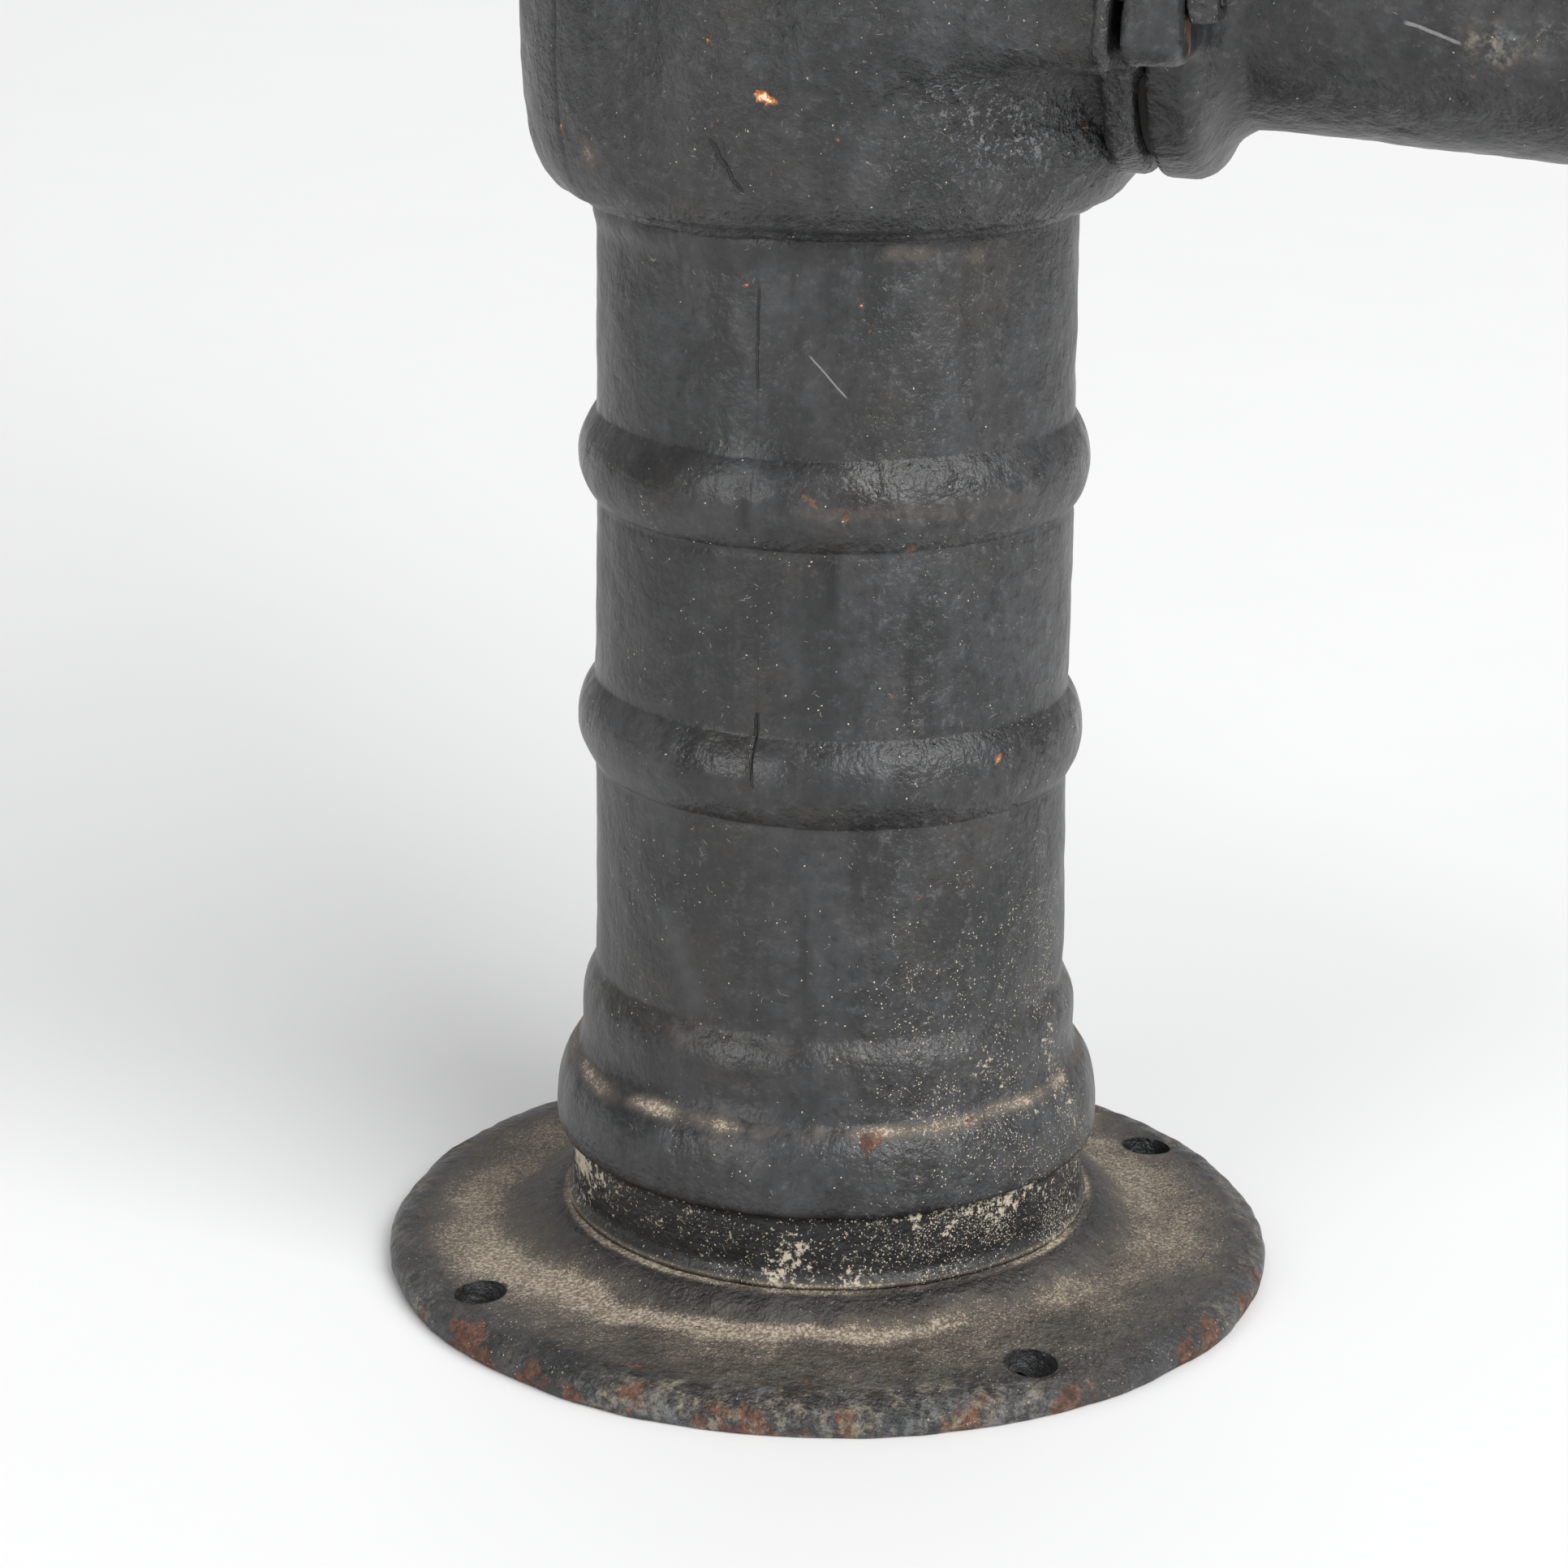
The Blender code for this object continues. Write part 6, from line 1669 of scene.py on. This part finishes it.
SPOUT_LINES = (
    ((0.1723, -0.0506, 0.4049), (0.1876, -0.0496, 0.3998), SPOUT_SIDE, 0.00040, 0.0006, True),
)
PAINTS = {
    "base_paint": dict(gloss=0.44, pebble=1.7, brown=0.9, tone=1.1),
    "column_paint": dict(gloss=0.42, pebble=0.55, lines=COLUMN_LINES),
    "body_paint": dict(gloss=0.40, brown=0.4, lines=BODY_LINES),
    "spout_paint": dict(gloss=0.42, pebble=0.4, lint=0.8, brown=0.3, lines=SPOUT_LINES),
    "cap_paint": dict(gloss=0.42),
    "lever_paint": dict(gloss=0.40, lint=0.7),
    "plain_iron": dict(gloss=0.48, brown=1.0, tone=1.6),
    "fastener_steel": dict(gloss=0.42, pebble=0.5, brown=1.0, tone=1.2),
}
# Bright, dark and spot colour, then roughness
METALS = {
    "brass": ((0.50, 0.36, 0.15), (0.20, 0.13, 0.06), (0.08, 0.10, 0.07), 0.38),
    "gland_brass": ((0.36, 0.26, 0.12), (0.10, 0.07, 0.045), (0.03, 0.03, 0.03), 0.42),
    "pin_steel": ((0.26, 0.24, 0.22), (0.09, 0.065, 0.05), (0.16, 0.07, 0.03), 0.45),
    "rod_steel": ((0.38, 0.365, 0.35), (0.20, 0.18, 0.16), (0.14, 0.08, 0.05), 0.28),
}
# Pale and dark colour, roughness, grains to a metre, and any stretch of the grain
SOFT = {
    "gasket_rubber": ((0.030, 0.030, 0.029), (0.014, 0.014, 0.014), 0.75, 500.0),
    "gasket_leather": ((0.13, 0.085, 0.050), (0.055, 0.033, 0.020), 0.72, 420.0),
    "cup_leather": ((0.16, 0.095, 0.050), (0.07, 0.040, 0.022), 0.60, 350.0),
    "hemp": ((0.30, 0.24, 0.15), (0.10, 0.08, 0.05), 0.92, 600.0, (1.0, 1.0, 3.0)),
    "outlet_packing": ((0.022, 0.018, 0.014), (0.008, 0.007, 0.006), 0.75, 420.0),
}
MATERIALS = {name: painted_iron(name, **look) for name, look in PAINTS.items()}
MATERIALS |= {name: stained_metal(name, *look) for name, look in METALS.items()}
MATERIALS |= {name: soft_stuff(name, *look) for name, look in SOFT.items()}


def dress_cad_nodes():
    """Gives every node of the part the material of its slot."""
    for part in frame["record"]["subparts"]:
        mesh = frame["nodes"][part["node"]].data
        mesh.materials.clear()
        mesh.materials.append(MATERIALS[part["material_slot"]])


# Floor, light and camera

# Each softbox: name, aim, azimuth, elevation, distance, size, power. The low one on the left gives the
# walls their broad sheen, and the one overhead keeps the ground behind the pump white.
WORLD_STRENGTH = 0.44
SOFTBOXES = (
    ("key", (0.0, 0.0, 0.30), -33.0, 34.0, 6.5, (5.2, 3.6), 470.0),
    ("fill", (0.0, 0.0, 0.30), -118.0, 14.0, 5.0, (2.4, 2.2), 70.0),
    ("backdrop", (-0.9, 2.9, 0.0), 106.0, 80.0, 2.9, (3.0, 3.0), 36.0),
)


def floor_and_light():
    """A pale floor and soft studio light."""
    s = Surface("studio_floor")
    broad = s.noise(0.7, 2.0)
    fine = s.noise(9.0, 3.0, offset=3.0)
    shade = s.ramp(s.total((broad, 0.7), (fine, 0.3)), 0.2, 0.8)
    colour = s.mix(shade, (0.885, 0.888, 0.892), (0.905, 0.905, 0.905))
    s.finish(colour, s.number("MULTIPLY_ADD", fine, 0.1, 0.75), s.times(fine, 0.0002))
    side = 24.0
    mesh = bpy.data.meshes.new("floor")
    mesh.from_pydata(
        [(-side, -side, 0), (side, -side, 0), (side, side, 0), (-side, side, 0)], [], [(0, 1, 2, 3)]
    )
    mesh.materials.append(s.material)
    floor = bpy.data.objects.new("floor", mesh)
    floor.location.z = cad_box[0].z - 0.0002
    bpy.context.scene.collection.objects.link(floor)

    world = bpy.data.worlds.new("studio")
    world.use_nodes = True
    world.node_tree.nodes["Background"].inputs["Color"].default_value = (1.0, 1.0, 1.0, 1.0)
    world.node_tree.nodes["Background"].inputs["Strength"].default_value = WORLD_STRENGTH
    bpy.context.scene.world = world
    for name, aim, azimuth, height, distance, size, power in SOFTBOXES:
        light = bpy.data.lights.new(name, "AREA")
        light.shape = "RECTANGLE"
        light.size, light.size_y = size
        light.energy = power
        lamp = bpy.data.objects.new(name, light)
        bpy.context.scene.collection.objects.link(lamp)
        a, e = math.radians(azimuth), math.radians(height)
        away = Vector((math.cos(a) * math.cos(e), math.sin(a) * math.cos(e), math.sin(e)))
        lamp.location = Vector(aim) + away * distance
        lamp.rotation_euler = away.to_track_quat("Z", "Y").to_euler()


CAMERA_AT = (0.3366, -1.2562, 0.5771)
CAMERA_LENS = 101.31
# Yaw, pitch down and roll in degrees, then a turn about the vertical
CAMERA_TURNS = (-0.653, 17.985, 0.476, 15.0)


def camera():
    """The camera: it looks down on the foot, and the frame cuts off the spout and the top."""
    yaw, pitch, roll, turn = (math.radians(a) for a in CAMERA_TURNS)
    ahead = Vector((math.sin(yaw) * math.cos(pitch), math.cos(yaw) * math.cos(pitch), -math.sin(pitch)))
    right = Vector((math.cos(yaw), -math.sin(yaw), 0.0))
    up = right.cross(ahead)
    right, up = math.cos(roll) * right + math.sin(roll) * up, math.cos(roll) * up - math.sin(roll) * right
    axes = Matrix((right, up, -ahead)).transposed().to_4x4()
    lens = bpy.data.cameras.new("camera")
    lens.sensor_width = 36.0
    lens.lens = CAMERA_LENS
    lens.clip_end = 100.0
    view = bpy.data.objects.new("camera", lens)
    bpy.context.scene.collection.objects.link(view)
    view.matrix_world = Matrix.Translation(CAMERA_AT) @ Matrix.Rotation(turn, 4, "Z") @ axes
    bpy.context.scene.camera = view


dress_cad_nodes()
column(MATERIALS["column_paint"])
base_flange(MATERIALS["base_paint"])
pump_body(MATERIALS["body_paint"])
spout(MATERIALS["spout_paint"])
outlet_gasket(MATERIALS["outlet_packing"])
top_cap(MATERIALS["cap_paint"])
lever(MATERIALS["lever_paint"])
rod_clevis(MATERIALS["plain_iron"])
outlet_fixings(MATERIALS["fastener_steel"])
cap_fixings(MATERIALS["fastener_steel"], MATERIALS["gland_brass"])
pins(MATERIALS["pin_steel"])
pump_rod(MATERIALS["rod_steel"])
floor_and_light()
camera()
bpy.context.scene.view_settings.view_transform = "Standard"
